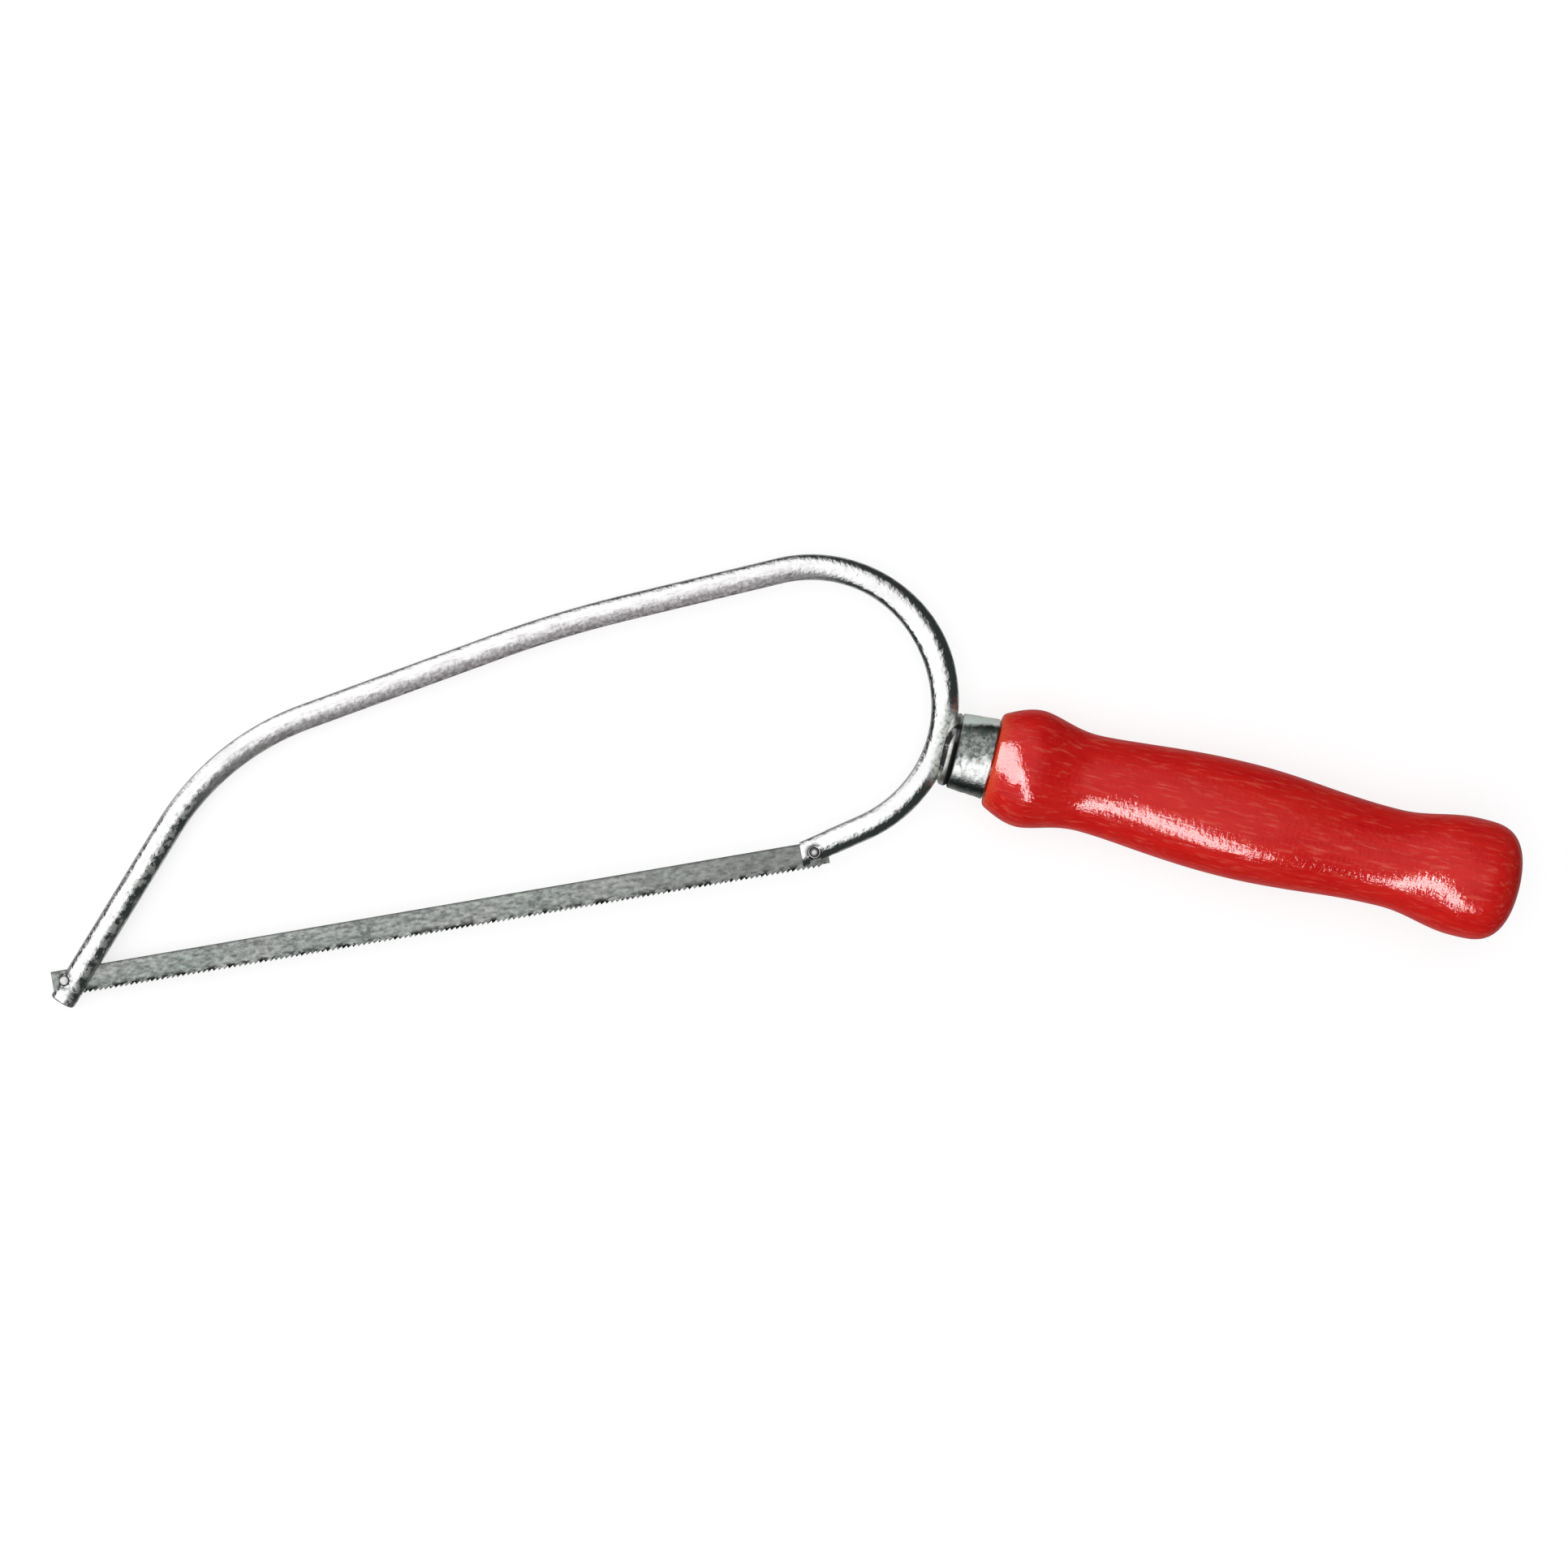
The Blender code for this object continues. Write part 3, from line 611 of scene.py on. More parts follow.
def ferrule_cup(mat):
    """Drawn cup: front face, rounded edge, slightly flared wall with small dents, lip and hollow."""
    front = FERRULE_FRONT_DIAMETER / 2
    rear = FERRULE_REAR_DIAMETER / 2
    swing = np.linspace(0.0, math.pi / 2, 9)
    face = np.linspace(TANG_HOLE_R, front - FERRULE_EDGE, 10)[:-1]
    edge = front - FERRULE_EDGE * (1 - np.sin(swing))
    share = np.linspace(0.0, 1.0, 40)[1:-1]
    wall = front + (rear - front) * share
    lip = rear - FERRULE_LIP * (1 - np.cos(swing))
    inside = front - FERRULE_WALL
    hollow = [inside, inside, inside - FERRULE_WALL / 2, TANG_HOLE_R]
    radius = np.concatenate([face, edge, wall, lip, hollow])
    wall_from = FERRULE_FRONT + FERRULE_EDGE
    wall_to = FERRULE_BACK - FERRULE_LIP
    floor = FERRULE_FRONT + FERRULE_WALL
    station = np.concatenate([
        np.full(len(face), FERRULE_FRONT),
        wall_from - FERRULE_EDGE * np.cos(swing),
        wall_from + (wall_to - wall_from) * share,
        wall_to + FERRULE_LIP * np.sin(swing),
        [FERRULE_BACK, floor + FERRULE_WALL / 2, floor, floor],
    ])
    angle = circle_angles(FERRULE_SIDES)
    outside = (radius > inside) & (station > FERRULE_FRONT)
    dents = unevenness(*np.meshgrid(station, angle, indexing="ij"), waves=5.0, seed=11)
    uneven = radius[:, None] + FERRULE_DENTS * np.where(outside[:, None], dents, 0.0)
    mesh = turned("ferrule_cup", uneven, station[:, None], angle[None, :], wrap_along=True)
    return make_piece("ferrule_cup", mesh, mat, "frame", "ferrule")


def half_wave(share, lead):
    """Smooth rise from 0 to 1 along half a cosine wave, earlier or later by its lead."""
    return (1 - np.cos(math.pi * np.clip(share, 0.0, 1.0) ** lead)) / 2


def grip_radius(at):
    """Radius of the grip at distances behind its shoulder.

    A quarter sine wave swells from the shoulder, half cosine waves lead to the waist, the belly,
    the neck and the butt, and a power curve in both directions rounds the butt.
    """
    start, swell, waist, belly, neck, butt = np.array([
        SHOULDER_DIAMETER, SWELL_DIAMETER, WAIST_DIAMETER, BELLY_DIAMETER, NECK_DIAMETER, BUTT_DIAMETER,
    ]) / 2
    radius = start + (swell - start) * np.sin(math.pi / 2 * np.clip(at / SWELL_AT, 0.0, 1.0))
    radius += (waist - swell) * half_wave((at - SWELL_AT) / (WAIST_AT - SWELL_AT), WAIST_LEAD)
    radius += (belly - waist) * half_wave((at - WAIST_AT) / (BELLY_AT - WAIST_AT), BELLY_LEAD)
    radius += (neck - belly) * half_wave((at - BELLY_AT) / (NECK_AT - BELLY_AT), NECK_LEAD)
    radius += (butt - neck) * half_wave((at - NECK_AT) / (BUTT_AT - NECK_AT), BUTT_LEAD)
    flat = BUTT_FLAT_DIAMETER / BUTT_DIAMETER
    full = (1 - flat ** BUTT_CROSSWISE_POWER) ** (1 / BUTT_LENGTHWISE_POWER)
    into_butt = full * np.clip((at - BUTT_AT) / BUTT_ROUNDING, 0.0, 1.0)
    rounded = (1 - into_butt ** BUTT_LENGTHWISE_POWER) ** (1 / BUTT_CROSSWISE_POWER)
    broken = np.clip(1 - at / SHOULDER_EDGE, 0.0, 1.0)
    return radius * rounded - SHOULDER_EDGE * (1 - np.sqrt(1 - broken ** 2))


def handle_grip(mat):
    """Grip turned from the bore's end over the spigot and shoulder to the middle of the butt.

    The outside is the grip's radius with slow unevenness and faint rings from the lathe.
    """
    fine = np.linspace(0.0, SHOULDER_EDGE, 9)[:-1]
    even = np.linspace(SHOULDER_EDGE, BUTT_AT, 330)[:-1]
    close = BUTT_AT + BUTT_ROUNDING * np.sin(np.linspace(0.0, math.pi / 2, 60))
    at = np.concatenate([fine, even, close])
    outside = grip_radius(at)
    flat = np.linspace(outside[-1], 0.0, 8)[1:]
    spigot = FERRULE_FRONT_DIAMETER / 2 - FERRULE_WALL - CLEARANCE
    bore_tip = TANG_TIP_DIAMETER / 2 + CLEARANCE
    bore_end = TANG_LENGTH + 2 * CLEARANCE
    inner = np.array([
        (0.0, bore_end),
        (bore_tip, TANG_LENGTH + CLEARANCE),
        (TANG_HOLE_R, SPIGOT_FRONT + FERRULE_LENGTH),
        (TANG_HOLE_R, SPIGOT_FRONT),
        (spigot - FERRULE_EDGE, SPIGOT_FRONT),
        (spigot, SPIGOT_FRONT + FERRULE_EDGE),
        (spigot, SHOULDER),
    ])
    angle = circle_angles(HANDLE_SIDES)
    along, around = np.meshgrid(at, angle, indexing="ij")
    fade = (outside / outside.max())[:, None] * np.clip(at / SWELL_AT, 0.0, 1.0)[:, None]
    slow = HANDLE_DENTS * unevenness(along, around, waves=9.0, seed=5)
    rings = LATHE_RINGS * unevenness(along, around * 0, waves=60.0, seed=8)
    grip = outside[:, None] + (slow + rings) * fade
    wide = np.ones(len(angle))
    radius = np.concatenate([inner[:, :1] * wide, grip, flat[:, None] * wide])
    station = np.concatenate([inner[:, 1], SHOULDER + at, np.full(len(flat), SHOULDER + HANDLE_LENGTH)])
    mesh = turned("handle_grip", radius, station[:, None], angle[None, :])
    return make_piece("handle_grip", mesh, mat, "frame", "handle", sharp=40.0)


def add(tree, kind, inputs, **settings):
    """Shader node with its settings, each input either set or linked from another node's output."""
    made = tree.nodes.new("ShaderNode" + kind)
    for setting, value in settings.items():
        setattr(made, setting, value)
    for socket, value in inputs.items():
        if isinstance(value, bpy.types.NodeSocket):
            tree.links.new(value, made.inputs[socket])
        else:
            made.inputs[socket].default_value = value
    return made


def laid_out(tree, axes, sizes):
    """Object coordinates turned into a piece's own axes, with a pattern's sizes as the units."""
    origin, rows = axes
    place = add(tree, "TexCoord", {}).outputs["Object"]
    turn = Matrix(rows.T.tolist()).to_euler()
    inputs = {"Vector": place, "Location": origin.tolist(), "Rotation": turn, "Scale": sizes}
    return add(tree, "Mapping", inputs, vector_type="TEXTURE").outputs["Vector"]


def flowing(tree, along, around):
    """The piece's own map, with a pattern's sizes in millimetres as the units."""
    place = add(tree, "UVMap", {}, uv_map="flow").outputs["UV"]
    inputs = {"Vector": place, "Scale": (along, around, 1.0)}
    return add(tree, "Mapping", inputs, vector_type="TEXTURE").outputs["Vector"]


def noise(tree, vector, detail, distortion=0.0):
    """Cloudy pattern between 0 and 1, its lumps about as large as the vector's units."""
    inputs = {"Vector": vector, "Scale": 1.0, "Detail": detail}
    inputs.update({"Roughness": NOISE_ROUGHNESS, "Distortion": distortion})
    return add(tree, "TexNoise", inputs).outputs["Fac"]


def patchy(tree, axes, along, across, detail, distortion=0.0):
    """Noise in a piece's own axes, with one size in metres along the piece and one across it."""
    return noise(tree, laid_out(tree, axes, (along, across, across)), detail, distortion)


def spread(tree, value, low, high, to_low=0.0, to_high=1.0):
    """Value carried from one range to another, held at both ends."""
    inputs = {"Value": value, "From Min": low, "From Max": high, "To Min": to_low, "To Max": to_high}
    return add(tree, "MapRange", inputs).outputs["Result"]


def rest_of(tree, share):
    """What a share leaves over."""
    return spread(tree, share, 0.0, 1.0, 1.0, 0.0)


def tinted(tree, share, first, second):
    """Colour that goes from the first to the second with the share."""
    mix = add(tree, "Mix", {0: share, 6: first, 7: second}, data_type="RGBA")
    return mix.outputs[2]


def painted(tree, base, *coats):
    """Base colour with coats laid over it in turn, each given as its share and its colour."""
    for share, coat in coats:
        base = tinted(tree, share, base, coat)
    return base


def colour(red, green, blue):
    """Opaque colour."""
    return (red, green, blue, 1.0)


def grey(level):
    """Opaque colour with the same level of red, green and blue."""
    return colour(level, level, level)


def product(tree, *factors):
    """Product of all factors."""
    result = factors[0]
    for factor in factors[1:]:
        result = add(tree, "Math", {0: result, 1: factor}, operation="MULTIPLY").outputs[0]
    return result


def plus(tree, start, value, weight):
    """Start plus a value times its weight."""
    return add(tree, "Math", {0: value, 1: weight, 2: start}, operation="MULTIPLY_ADD").outputs[0]


def total(tree, *parts):
    """Sum of values, each given with its weight."""
    result = product(tree, *parts[0])
    for value, weight in parts[1:]:
        result = plus(tree, result, value, weight)
    return result


def larger(tree, first, second):
    """The larger of two shares."""
    return add(tree, "Math", {0: first, 1: second}, operation="MAXIMUM").outputs[0]


def length_of(tree, vector):
    """Length of a vector."""
    return add(tree, "VectorMath", {0: vector}, operation="LENGTH").outputs["Value"]


def raised(tree, height, distance):
    """Normal bent by a height, which is the distance in metres where it is 1."""
    inputs = {"Height": height, "Distance": distance, "Strength": 1.0}
    return add(tree, "Bump", inputs).outputs["Normal"]


def new_finish(name, **constants):
    """Material with one shader, its constant numbers set on the shader's own sockets."""
    mat = bpy.data.materials.new(name)
    mat.use_nodes = True
    shader = mat.node_tree.nodes["Principled BSDF"]
    for socket, value in constants.items():
        shader.inputs[socket.replace("_", " ")].default_value = value
    return mat, mat.node_tree, shader


def dress(tree, shader, base, roughness, normal):
    """Links what varies over a surface to its shader."""
    tree.links.new(base, shader.inputs["Base Color"])
    tree.links.new(roughness, shader.inputs["Roughness"])
    tree.links.new(normal, shader.inputs["Normal"])


def metres(tree, axes):
    """The place in a piece's own axes, in metres, as three numbers."""
    return add(tree, "SeparateXYZ", {"Vector": laid_out(tree, axes, (1.0, 1.0, 1.0))}).outputs


def near_line(tree, at, inner, outer):
    """Share that fades out with the distance from a line square to the bow."""
    there = (placed([*at, 0.0]), AXES)
    inputs = {0: laid_out(tree, there, (1.0, 1.0, 1.0)), 1: (1.0, 1.0, 0.0)}
    level = add(tree, "VectorMath", inputs, operation="MULTIPLY").outputs[0]
    return spread(tree, length_of(tree, level), inner, outer, 1.0, 0.0)


def near_pins(tree, inner, outer):
    """Share that fades out with the distance from the nearer of the two blade pins."""
    return larger(tree, near_line(tree, FRONT_PIN, inner, outer), near_line(tree, REAR_PIN, inner, outer))


def inner_side(tree, streaks):
    """Millimetres around the rod from its outer to its inner side, pushed on by the streaks."""
    around = add(tree, "SeparateXYZ", {"Vector": flowing(tree, 1.0, 1.0)}).outputs["Y"]
    half_around = math.pi * ROD_R * MILLIMETRES
    inward = add(tree, "Math", {0: around, 1: half_around}, operation="PINGPONG").outputs[0]
    return plus(tree, inward, streaks, STREAK_PUSH)


def braze_mark(tree, dents):
    """Braze on the rod: close to the handle's root, on the handle's side, broken up by the dents."""
    near = near_line(tree, HANDLE_ROOT, 0.0070, 0.0100)
    behind = spread(tree, metres(tree, HANDLE_FRAME)["X"], -0.0012, 0.0004)
    return product(tree, near, behind, spread(tree, dents, 0.25, 0.50))


def bright_plate():
    """Bright plating on drawn rod, with dents, with dirt and painted shade round the pins, and with burnt
    spots at the braze.

    On the inner side the rail is dull, with specks and dark dashes, and the leg has dull patches.
    """
    mat, tree, shader = new_finish("bright_plate")
    smudge = patchy(tree, SAW_FRAME, 0.007, 0.007, detail=5.0)
    dents = patchy(tree, SAW_FRAME, 0.0013, 0.0013, detail=3.0)
    pits = patchy(tree, SAW_FRAME, 0.0008, 0.0008, detail=3.0)
    streaks = noise(tree, flowing(tree, 3.5, 0.6), detail=4.0)
    inward = inner_side(tree, streaks)
    place = metres(tree, SAW_FRAME)
    rail = product(tree, spread(tree, place["Y"], 0.026, 0.044), spread(tree, place["X"], 0.160, 0.142))
    dull = product(tree, rail, spread(tree, inward, 5.6, 8.2))
    speckled = product(tree, dull, spread(tree, pits, 0.46, 0.58))
    dashes = product(tree, rail, spread(tree, inward, 8.4, 9.2), spread(tree, dents, 0.47, 0.55))
    leg = product(tree, spread(tree, place["Y"], 0.046, 0.036), spread(tree, place["X"], 0.080, 0.055))
    strip = product(tree, spread(tree, inward, 6.2, 7.4), spread(tree, inward, 8.9, 7.9))
    patches = product(tree, leg, strip, spread(tree, dents, 0.48, 0.58))
    matt = larger(tree, dull, patches)
    # Dirt and painted shade: near black in a ring round each pin notch.
    grime_and_shade = product(tree, near_pins(tree, 0.0012, 0.0021), spread(tree, dents, 0.42, 0.52))
    braze = braze_mark(tree, dents)
    burnt = product(tree, braze, spread(tree, pits, 0.48, 0.60, 0.0, 0.7))
    clean = tinted(tree, spread(tree, smudge, 0.4, 0.7), grey(0.93), colour(0.82, 0.81, 0.82))
    base = painted(
        tree, clean,
        (dull, colour(0.68, 0.65, 0.66)),
        (speckled, colour(0.40, 0.36, 0.37)),
        (dashes, colour(0.26, 0.23, 0.24)),
        (patches, colour(0.40, 0.41, 0.39)),
        (braze, colour(0.76, 0.79, 0.76)),
        (burnt, colour(0.20, 0.22, 0.20)),
        (grime_and_shade, grey(0.06)),
    )
    rough = total(
        tree, (smudge, 0.20), (matt, 0.42), (speckled, 0.1), (streaks, 0.08), (grime_and_shade, 0.4), (braze, 0.5))
    height = total(tree, (streaks, 0.5), (pits, 1.0), (smudge, 4.0), (dents, 6.5))
    tree.links.new(spread(tree, matt, 0.0, 1.0, 1.0, 0.4), shader.inputs["Metallic"])
    dress(tree, shader, base, rough, raised(tree, height, 0.00003))
    return mat


def collar_seam_shade(tree, stain):
    """Painted shade in the seams of the collar, one at the rod and one at the ferrule.

    The first bends back towards the bow's rail by the square of the way there, and both end before
    they reach the rail's side.
    """
    place = metres(tree, HANDLE_FRAME)
    across = add(tree, "CombineXYZ", {"Y": place["Y"], "Z": place["Z"]}).outputs[0]
    bent = spread(tree, place["Y"], 0.0003, 0.0053)
    seam = plus(tree, place["X"], product(tree, bent, bent), -0.0023)
    at_rod = product(
        tree,
        spread(tree, seam, 0.0003, 0.0006),
        spread(tree, seam, 0.0019, 0.0017),
        spread(tree, place["Y"], -0.0052, -0.0042),
        spread(tree, place["Y"], 0.0056, 0.0047),
        spread(tree, stain, 0.36, 0.50, 0.45, 1.0),
        spread(tree, length_of(tree, across), 0.0056, 0.0064),
    )
    at_ferrule = product(
        tree, spread(tree, place["X"], 0.0024, 0.0026), spread(tree, place["Y"], 0.0026, 0.0012))
    return larger(tree, at_ferrule, at_rod)


def collar_plate():
    """Plating over the brazed joint: stained and fine grained, with painted shade at its seams."""
    mat, tree, shader = new_finish("collar_plate", Metallic=1.0)
    stain = patchy(tree, HANDLE_FRAME, 0.0022, 0.0022, detail=5.0)
    grains = patchy(tree, HANDLE_FRAME, 0.0004, 0.0004, detail=3.0)
    # Painted shade: the collar turns near black along both seams.
    seam_shade = collar_seam_shade(tree, stain)
    clean = tinted(tree, spread(tree, stain, 0.4, 0.68), colour(0.88, 0.88, 0.87), colour(0.55, 0.53, 0.50))
    base = tinted(tree, seam_shade, clean, grey(0.05))
    rough = total(tree, (stain, 0.45), (grains, 0.25), (seam_shade, 0.3))
    height = total(tree, (stain, 1.5), (grains, 0.5))
    dress(tree, shader, base, rough, raised(tree, height, 0.00003))
    return mat


def ferrule_plate():
    """Plating on the drawn cup, with specks all over it and painted shade at its front.

    The rail's side carries a painted dark reflection above a ragged level that falls towards the front,
    with a darker painted reflection band higher up and a painted highlight streak at the top, where the
    plating is made less metallic. The teeth's side has a painted dark reflection at the very bottom.
    """
    mat, tree, shader = new_finish("ferrule_plate")
    blotch = patchy(tree, HANDLE_FRAME, 0.0014, 0.0018, detail=6.0, distortion=0.5)
    specks = patchy(tree, HANDLE_FRAME, 0.0008, 0.0008, detail=4.0)
    rings = patchy(tree, HANDLE_FRAME, 0.00016, 0.004, detail=3.0)
    place = metres(tree, HANDLE_FRAME)
    # Painted shade at the front, next to the collar.
    seam_shade = product(
        tree,
        spread(tree, place["X"], FERRULE_FRONT + 0.0005, FERRULE_FRONT + 0.0002),
        spread(tree, place["Y"], 0.0032, 0.0012, 0.3, 1.0),
    )
    # The masks from here paint reflections: a dark one over the upper part on the rail's side, a darker
    # band above it, a pale highlight streak at the top, and a dark one along the bottom on the teeth's
    # side.
    level = plus(tree, place["Y"], place["X"], -0.19)
    ragged = plus(tree, level, blotch, 0.007)
    painted_highlight = spread(tree, plus(tree, level, blotch, 0.0016), 0.0049, 0.0057)
    upper = spread(tree, ragged, 0.0, 0.0018, 0.0, 0.93)
    dark_reflection = add(tree, "Math", {0: upper, 1: painted_highlight}, operation="SUBTRACT", use_clamp=True).outputs[0]
    reflection_band = product(tree, spread(tree, ragged, 0.0058, 0.0072), rest_of(tree, painted_highlight))
    under = spread(tree, place["Y"], -0.0052, -0.0062, 0.0, 0.8)
    # Colour of the painted dark reflection, speckled from grey to near black.
    dark = tinted(
        tree, spread(tree, specks, 0.40, 0.60), colour(0.30, 0.32, 0.30), colour(0.06, 0.07, 0.065))
    clean = tinted(
        tree, spread(tree, blotch, 0.45, 0.68), colour(0.95, 0.96, 0.95), colour(0.74, 0.75, 0.74))
    base = painted(
        tree, clean,
        (dark_reflection, dark),
        (spread(tree, specks, 0.60, 0.72, 0.0, 0.45), colour(0.10, 0.11, 0.105)),
        (reflection_band, colour(0.14, 0.17, 0.15)),
        (under, colour(0.08, 0.11, 0.09)),
        (painted_highlight, colour(0.60, 0.67, 0.62)),
        (seam_shade, grey(0.07)),
    )
    rough = total(tree, (blotch, 0.3), (rings, 0.1), (seam_shade, 0.3), (dark_reflection, 0.15), (painted_highlight, 0.4))
    height = total(tree, (blotch, 3.0), (specks, 1.0), (rings, 0.3))
    tree.links.new(spread(tree, painted_highlight, 0.0, 1.0, 1.0, 0.2), shader.inputs["Metallic"])
    dress(tree, shader, base, rough, raised(tree, height, 0.00004))
    return mat


def blade_steel():
    """Satin blade steel: grinding lines, mottling, dark edges, and dirt and painted shade in the set of the
    teeth and round the pins.
    """
    mat, tree, shader = new_finish("blade_steel", Metallic=1.0)
    cloud = patchy(tree, SAW_FRAME, 0.016, 0.005, detail=5.0)
    mottle = patchy(tree, SAW_FRAME, 0.0012, 0.0006, detail=5.0)
    lines = patchy(tree, SAW_FRAME, 0.008, 0.00016, detail=4.0)
    grime_and_shade = patchy(tree, SAW_FRAME, 0.0016, 0.0012, detail=2.0)
    place = metres(tree, SAW_FRAME)
    rear = spread(tree, place["X"], 0.095, 0.135, 0.0, 0.75)
    toothed = spread(tree, place["Y"], TOOTH_ROOT + 0.0009, TOOTH_ROOT)
    # Dirt and painted shade: near-black specks along the teeth and round the pin seats.
    teeth = product(tree, toothed, spread(tree, grime_and_shade, 0.48, 0.55))
    seats = product(tree, near_pins(tree, 0.0011, 0.0017), spread(tree, mottle, 0.38, 0.48))
    dirt_and_shade_spots = larger(tree, teeth, seats)
    back = spread(tree, place["Y"], PIN_FROM_BACK - 0.0005, PIN_FROM_BACK - 0.0001, 0.0, 0.75)
    clean = tinted(
        tree, spread(tree, cloud, 0.38, 0.66), colour(0.50, 0.505, 0.49), colour(0.47, 0.53, 0.49))
    base = painted(
        tree, clean,
        (rear, colour(0.29, 0.295, 0.29)),
        (spread(tree, mottle, 0.36, 0.68), colour(0.21, 0.22, 0.21)),
        (spread(tree, lines, 0.5, 0.8, 0.0, 0.5), colour(0.42, 0.43, 0.42)),
        (dirt_and_shade_spots, grey(0.02)),
        (back, colour(0.10, 0.11, 0.105)),
    )
    rough = total(tree, (cloud, 0.3), (lines, 0.35), (mottle, 0.45), (dirt_and_shade_spots, 0.2))
    height = total(tree, (lines, 0.4), (mottle, 0.6), (cloud, 0.6))
    dress(tree, shader, base, rough, raised(tree, height, 0.00002))
    return mat


def pin_steel():
    """Steel of the cross pins: turned rings, a few stains and a painted dark rim of shade round the middle
    of each end.
    """
    mat, tree, shader = new_finish("pin_steel", Metallic=1.0)
    stain = patchy(tree, SAW_FRAME, 0.0008, 0.0008, detail=4.0)
    rings = noise(tree, flowing(tree, 0.12, 5.0), detail=2.0)
    front_face = near_line(tree, FRONT_PIN, 0.0006, 0.0009)
    rear_face = near_line(tree, REAR_PIN, 0.0003, 0.0006)
    clean = tinted(tree, spread(tree, stain, 0.35, 0.7), grey(0.80), colour(0.52, 0.51, 0.50))
    # Painted shade: near black everywhere but the middle of each end, so each end shows a dark rim.
    base = tinted(tree, larger(tree, front_face, rear_face), grey(0.10), clean)
    rough = total(tree, (stain, 0.4), (rings, 0.3))
    height = total(tree, (rings, 0.6), (stain, 0.6))
    dress(tree, shader, base, rough, raised(tree, height, 0.00002))
    return mat


def tang_steel():
    """Forged steel of the tang: dark scale broken up by bare patches."""
    mat, tree, shader = new_finish("tang_steel", Metallic=1.0)
    scale = patchy(tree, HANDLE_FRAME, 0.003, 0.0015, detail=6.0)
    base = tinted(tree, spread(tree, scale, 0.4, 0.62), colour(0.34, 0.32, 0.30), colour(0.12, 0.11, 0.10))
    rough = spread(tree, scale, 0.3, 0.7, 0.4, 0.75)
    dress(tree, shader, base, rough, raised(tree, scale, 0.00006))
    return mat


def red_lacquer():
    """Red lacquer over turned wood: grain, flecks, clouds, a worn rim and a coat that shows the brush."""
    mat, tree, shader = new_finish(
        "red_lacquer", Coat_Weight=0.42, Coat_Roughness=0.08, Coat_IOR=1.45, Specular_IOR_Level=0.0)
    grain = patchy(tree, HANDLE_FRAME, 0.024, 0.0012, detail=5.0, distortion=0.3)
    flecks = patchy(tree, HANDLE_FRAME, 0.0045, 0.0007, detail=3.0)
    fine = patchy(tree, HANDLE_FRAME, 0.010, 0.00035, detail=3.0)
    cloud = patchy(tree, HANDLE_FRAME, 0.014, 0.006, detail=3.0)
    brush = patchy(tree, HANDLE_FRAME, 0.0008, 0.0012, detail=2.0)
    rim = spread(tree, metres(tree, HANDLE_FRAME)["X"], SHOULDER + 0.0022, SHOULDER + 0.0002)
    worn = product(tree, rim, spread(tree, fine, 0.3, 0.7))
    red = tinted(
        tree, spread(tree, grain, 0.3, 0.72), colour(0.47, 0.006, 0.007), colour(0.58, 0.014, 0.010))
    base = painted(
        tree, red,
        (spread(tree, cloud, 0.4, 0.75, 0.0, 0.5), colour(0.60, 0.026, 0.018)),
        (spread(tree, flecks, 0.54, 0.72, 0.0, 0.75), colour(0.62, 0.075, 0.048)),
        (spread(tree, fine, 0.55, 0.8, 0.0, 0.5), colour(0.40, 0.005, 0.010)),
        (worn, colour(0.62, 0.08, 0.025)),
    )
    rough = total(tree, (cloud, 0.25), (fine, 0.2), (worn, 0.2), (grain, 0.2))
    height = total(tree, (grain, 0.8), (fine, 0.3), (brush, 1.1), (cloud, 1.0), (flecks, 0.5))
    normal = raised(tree, height, 0.00007)
    dress(tree, shader, base, rough, normal)
    tree.links.new(normal, shader.inputs["Coat Normal"])
    return mat


# Directions in the saw's axes: across and up the photograph, and towards the camera.
PHOTO_RIGHT = np.array([math.cos(VIEW_TILT), -math.sin(VIEW_TILT), 0.0])
PHOTO_UP = np.array([math.sin(VIEW_TILT), math.cos(VIEW_TILT), 0.0])
TO_CAMERA = np.array([0.0, 0.0, 1.0])


def seated(name, data, place, right, up):
    """Camera or light at a place in the saw's axes, its right and its up along two directions."""
    back = np.cross(right, up)
    turn = np.array([right, up, back]) @ AXES
    obj = bpy.data.objects.new(name, data)
    obj.matrix_world = Matrix.Translation(placed(place)) @ Matrix(turn.T.tolist()).to_4x4()
    bpy.context.scene.collection.objects.link(obj)
    return obj


def make_camera():
    """Camera square to the bow, as far off as the photograph's slight perspective asks for."""
    lens = bpy.data.cameras.new("photo_camera")
    lens.sensor_width = 36.0
    lens.lens = lens.sensor_width * VIEW_DISTANCE / VIEW_WIDTH
    lens.clip_start = 0.01
    lens.clip_end = 20.0
    place = VIEW_CENTRE + TO_CAMERA * VIEW_DISTANCE
    bpy.context.scene.camera = seated("photo_camera", lens, place, PHOTO_RIGHT, PHOTO_UP)


def softbox(name, aim, toward, along, distance, size, glow):
    """Rectangular lamp that faces a point, its first side lying along a direction."""
    back = unit(toward)
    right = unit(along - back * (along @ back))
    lamp = bpy.data.lights.new(name, "AREA")
    lamp.shape = "RECTANGLE"
    lamp.size, lamp.size_y = size
    lamp.energy = glow * math.pi * size[0] * size[1]
    obj = seated(name, lamp, aim + back * distance, right, np.cross(back, right))
    obj.visible_camera = False
    return obj


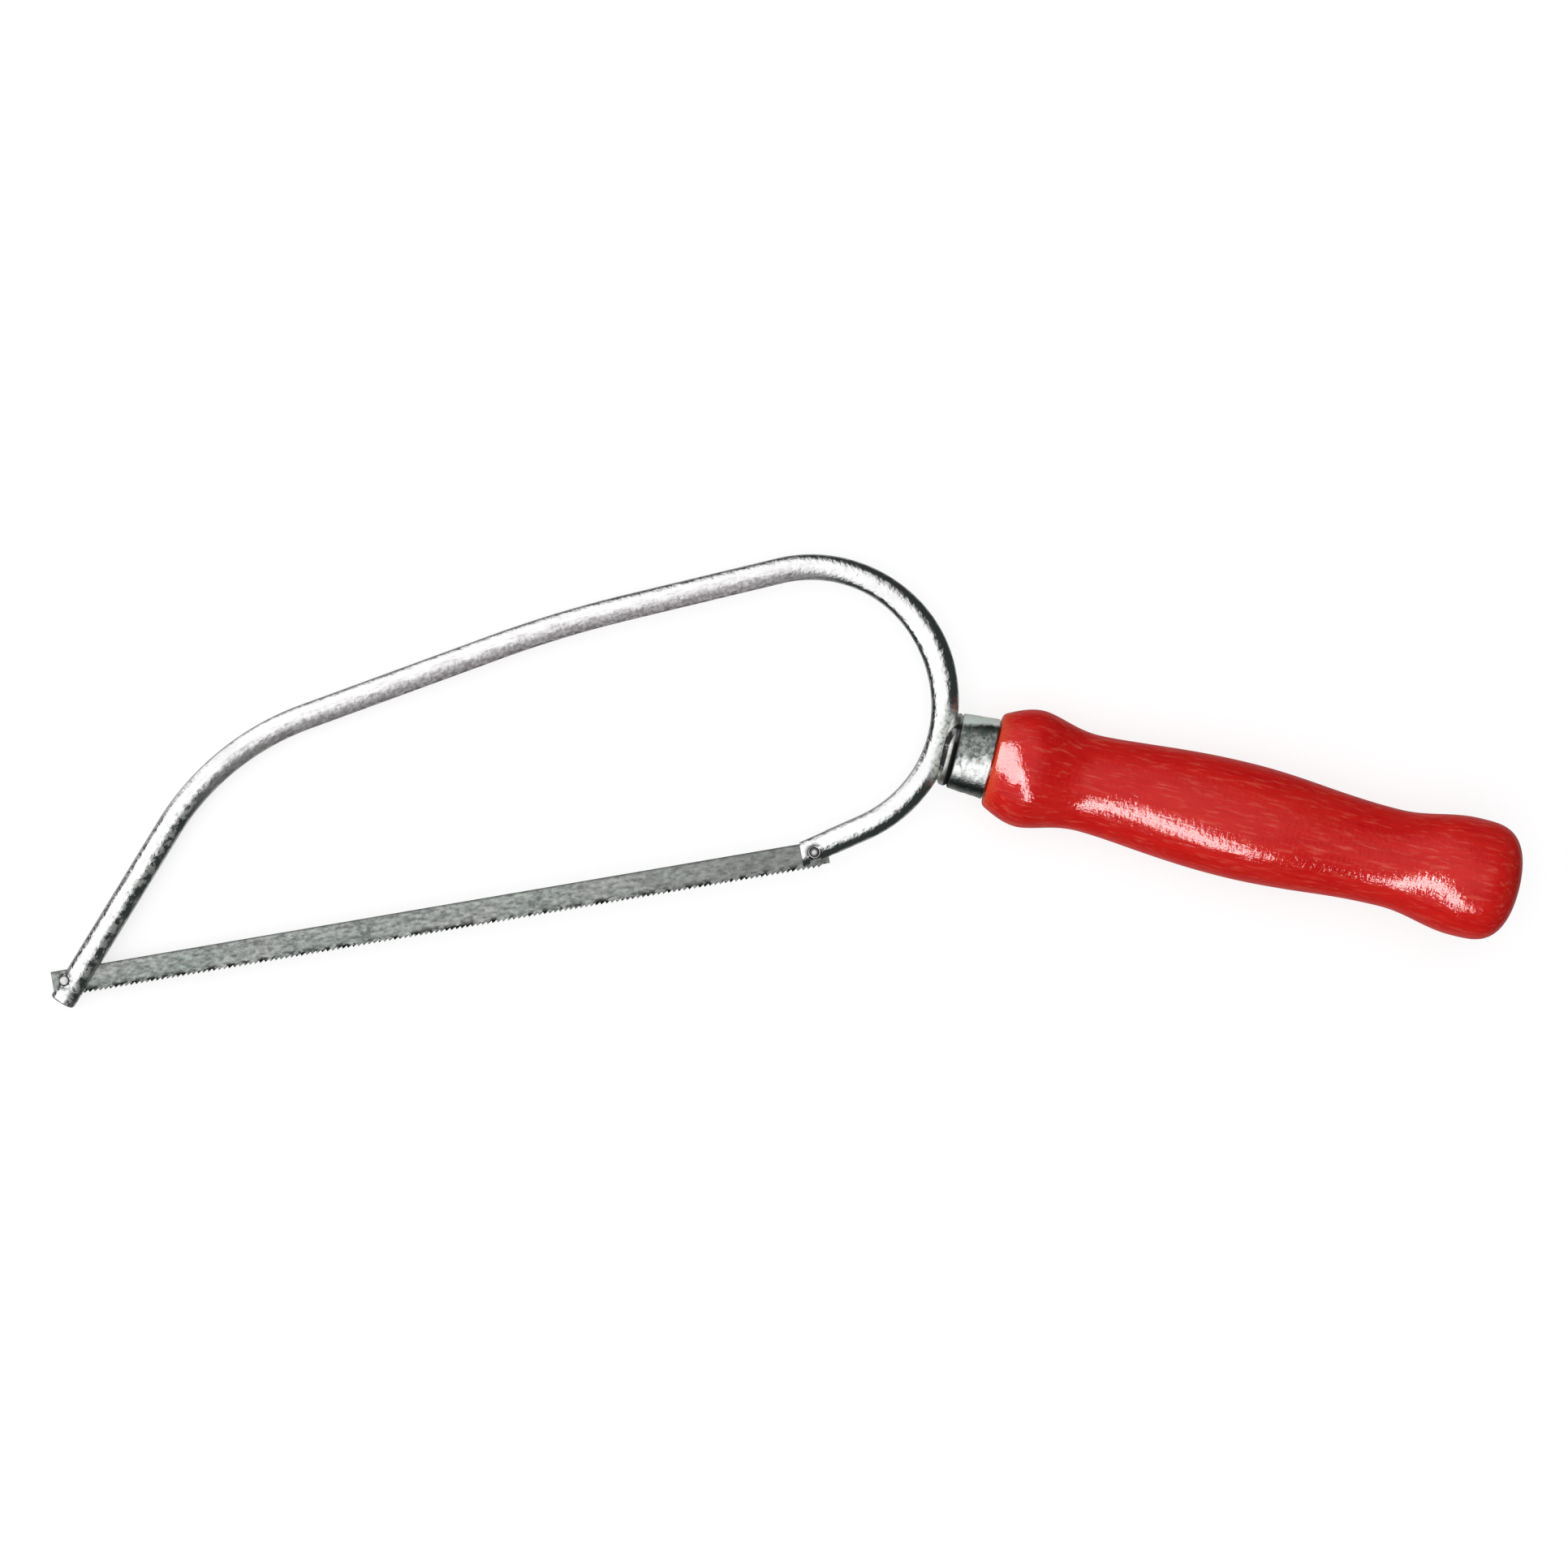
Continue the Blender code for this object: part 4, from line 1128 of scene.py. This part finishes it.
def make_lights(grip):
    """Broad light overhead, two softboxes that gloss only the grip, and a dim fill on its lower side.

    The long softbox leans from the camera towards the teeth's side and slants across the grip. The
    front one leans towards the bow.
    """
    side = np.array([*HANDLE_SIDE, 0.0])
    axis = np.array([*HANDLE_AXIS, 0.0])
    middle = np.array([*(HANDLE_ROOT + HANDLE_AXIS * GRIP_MIDDLE), 0.0])
    low = TO_CAMERA * math.cos(LONG_BOX_LEAN) - side * math.sin(LONG_BOX_LEAN)
    rise = TO_CAMERA * math.sin(LONG_BOX_LEAN) + side * math.cos(LONG_BOX_LEAN)
    slant = unit(axis - rise * LONG_BOX_SLANT)
    aim = middle - slant * LONG_BOX_SHIFT
    long_box = softbox("long_softbox", aim, low, slant, LAMP_DISTANCE, LONG_BOX_SIZE, LONG_BOX_GLOW)
    front = TO_CAMERA * math.cos(FRONT_BOX_LEAN) - axis * math.sin(FRONT_BOX_LEAN)
    tilt = axis + side * FRONT_BOX_TILT
    front_box = softbox("front_softbox", middle, front, tilt, LAMP_DISTANCE, FRONT_BOX_SIZE, FRONT_BOX_GLOW)
    below = TO_CAMERA * FILL_RISE - side
    fill = softbox("low_fill", middle, below, axis, LAMP_DISTANCE, FILL_SIZE, FILL_GLOW)
    only_grip = bpy.data.collections.new("glossed")
    only_grip.objects.link(grip)
    for lamp in (long_box, front_box, fill):
        lamp.light_linking.receiver_collection = only_grip
    overhead = softbox(
        "overhead_softbox", VIEW_CENTRE, TO_CAMERA, PHOTO_RIGHT,
        OVERHEAD_DISTANCE, OVERHEAD_SIZE, OVERHEAD_GLOW)
    long_box.visible_diffuse = False
    front_box.visible_diffuse = False
    fill.visible_glossy = False
    overhead.visible_glossy = False


def facing(tree, way, direction, low, high, most=1.0):
    """Share of the sky around a direction in the saw's axes, faded in between two cosines."""
    toward = (unit(direction) @ AXES).tolist()
    cosine = add(tree, "VectorMath", {0: way, 1: toward}, operation="DOT_PRODUCT").outputs["Value"]
    return spread(tree, cosine, low, high, 0.0, most)


def around_photo(turn, lean):
    """Direction that leans from the camera's by one angle, towards another angle in the photograph."""
    level = PHOTO_RIGHT * math.cos(turn) + PHOTO_UP * math.sin(turn)
    return TO_CAMERA * math.cos(lean) + level * math.sin(lean)


def camera_sees(tree):
    """1 for what the camera sees by itself, and 0 for what lights the saw or is mirrored in it."""
    return add(tree, "LightPath", {}).outputs["Is Camera Ray"]


def make_sky():
    """Studio around the saw: a white dome that leans to the upper left, a black flag and white paper.

    The dome ends in a dark room, the flag darkens its lower left rim, and what lies under the
    horizon is the paper that the saw lies on. The camera itself sees an even backdrop.
    """
    world = bpy.data.worlds.new("studio")
    bpy.context.scene.world = world
    world.use_nodes = True
    tree = world.node_tree
    way = add(tree, "TexCoord", {}).outputs["Generated"]
    dome = facing(tree, way, around_photo(DOME_TURN, DOME_LEAN), *DOME_EDGE)
    leftward = facing(tree, way, around_photo(FLAG_TURN, FLAG_LEAN), *FLAG_EDGE)
    flag = product(tree, leftward, facing(tree, way, -TO_CAMERA, *FLAG_TOP))
    paper = facing(tree, way, -TO_CAMERA, *PAPER_EDGE, most=PAPER_SHARE)
    lit = product(tree, dome, rest_of(tree, flag))
    room = colour(0.03, 0.036, 0.034)
    glow = painted(
        tree, room,
        (lit, grey(1.15)),
        (paper, colour(1.0, 1.0, 0.98)),
        (camera_sees(tree), grey(0.93)),
    )
    background = tree.nodes["Background"]
    tree.links.new(glow, background.inputs["Color"])
    background.inputs["Strength"].default_value = 1.0


def make_floor():
    """Plain pale table top just under the saw, brighter for the camera than for the saw."""
    far = TABLE_HALF
    low = -TABLE_DROP
    corners = [(-far, -far, low), (far, -far, low), (far, far, low), (-far, far, low)]
    mesh = bpy.data.meshes.new("table_top")
    mesh.from_pydata(corners, [], [(0, 1, 2, 3)])
    mat, tree, shader = new_finish(
        "table_paint", Roughness=0.9, Base_Color=grey(0.30), Emission_Color=grey(1.0))
    glow = spread(tree, camera_sees(tree), 0.0, 1.0, TABLE_GLOW, TABLE_GLOW_SEEN)
    tree.links.new(glow, shader.inputs["Emission Strength"])
    mesh.materials.append(mat)
    obj = bpy.data.objects.new("table_top", mesh)
    obj.visible_glossy = False
    bpy.context.scene.collection.objects.link(obj)


def dress_tang(mat):
    """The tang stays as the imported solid, inside collar, ferrule and grip."""
    tang = frame["nodes"]["tang"]
    tang.data.materials.clear()
    tang.data.materials.append(mat)


bow_rod(bright_plate())
collar_saddle(collar_plate())
ferrule_cup(ferrule_plate())
GRIP = handle_grip(red_lacquer())
blade_strip(blade_steel())
PIN_FINISH = pin_steel()
blade_pin("front_pin", "front_blade_pin", FRONT_PIN, PIN_FINISH)
blade_pin("rear_pin", "rear_blade_pin", REAR_PIN, PIN_FINISH)
dress_tang(tang_steel())

make_camera()
make_lights(GRIP)
make_sky()
make_floor()
bpy.context.scene.view_settings.view_transform = "Standard"

bpy.context.view_layer.update()
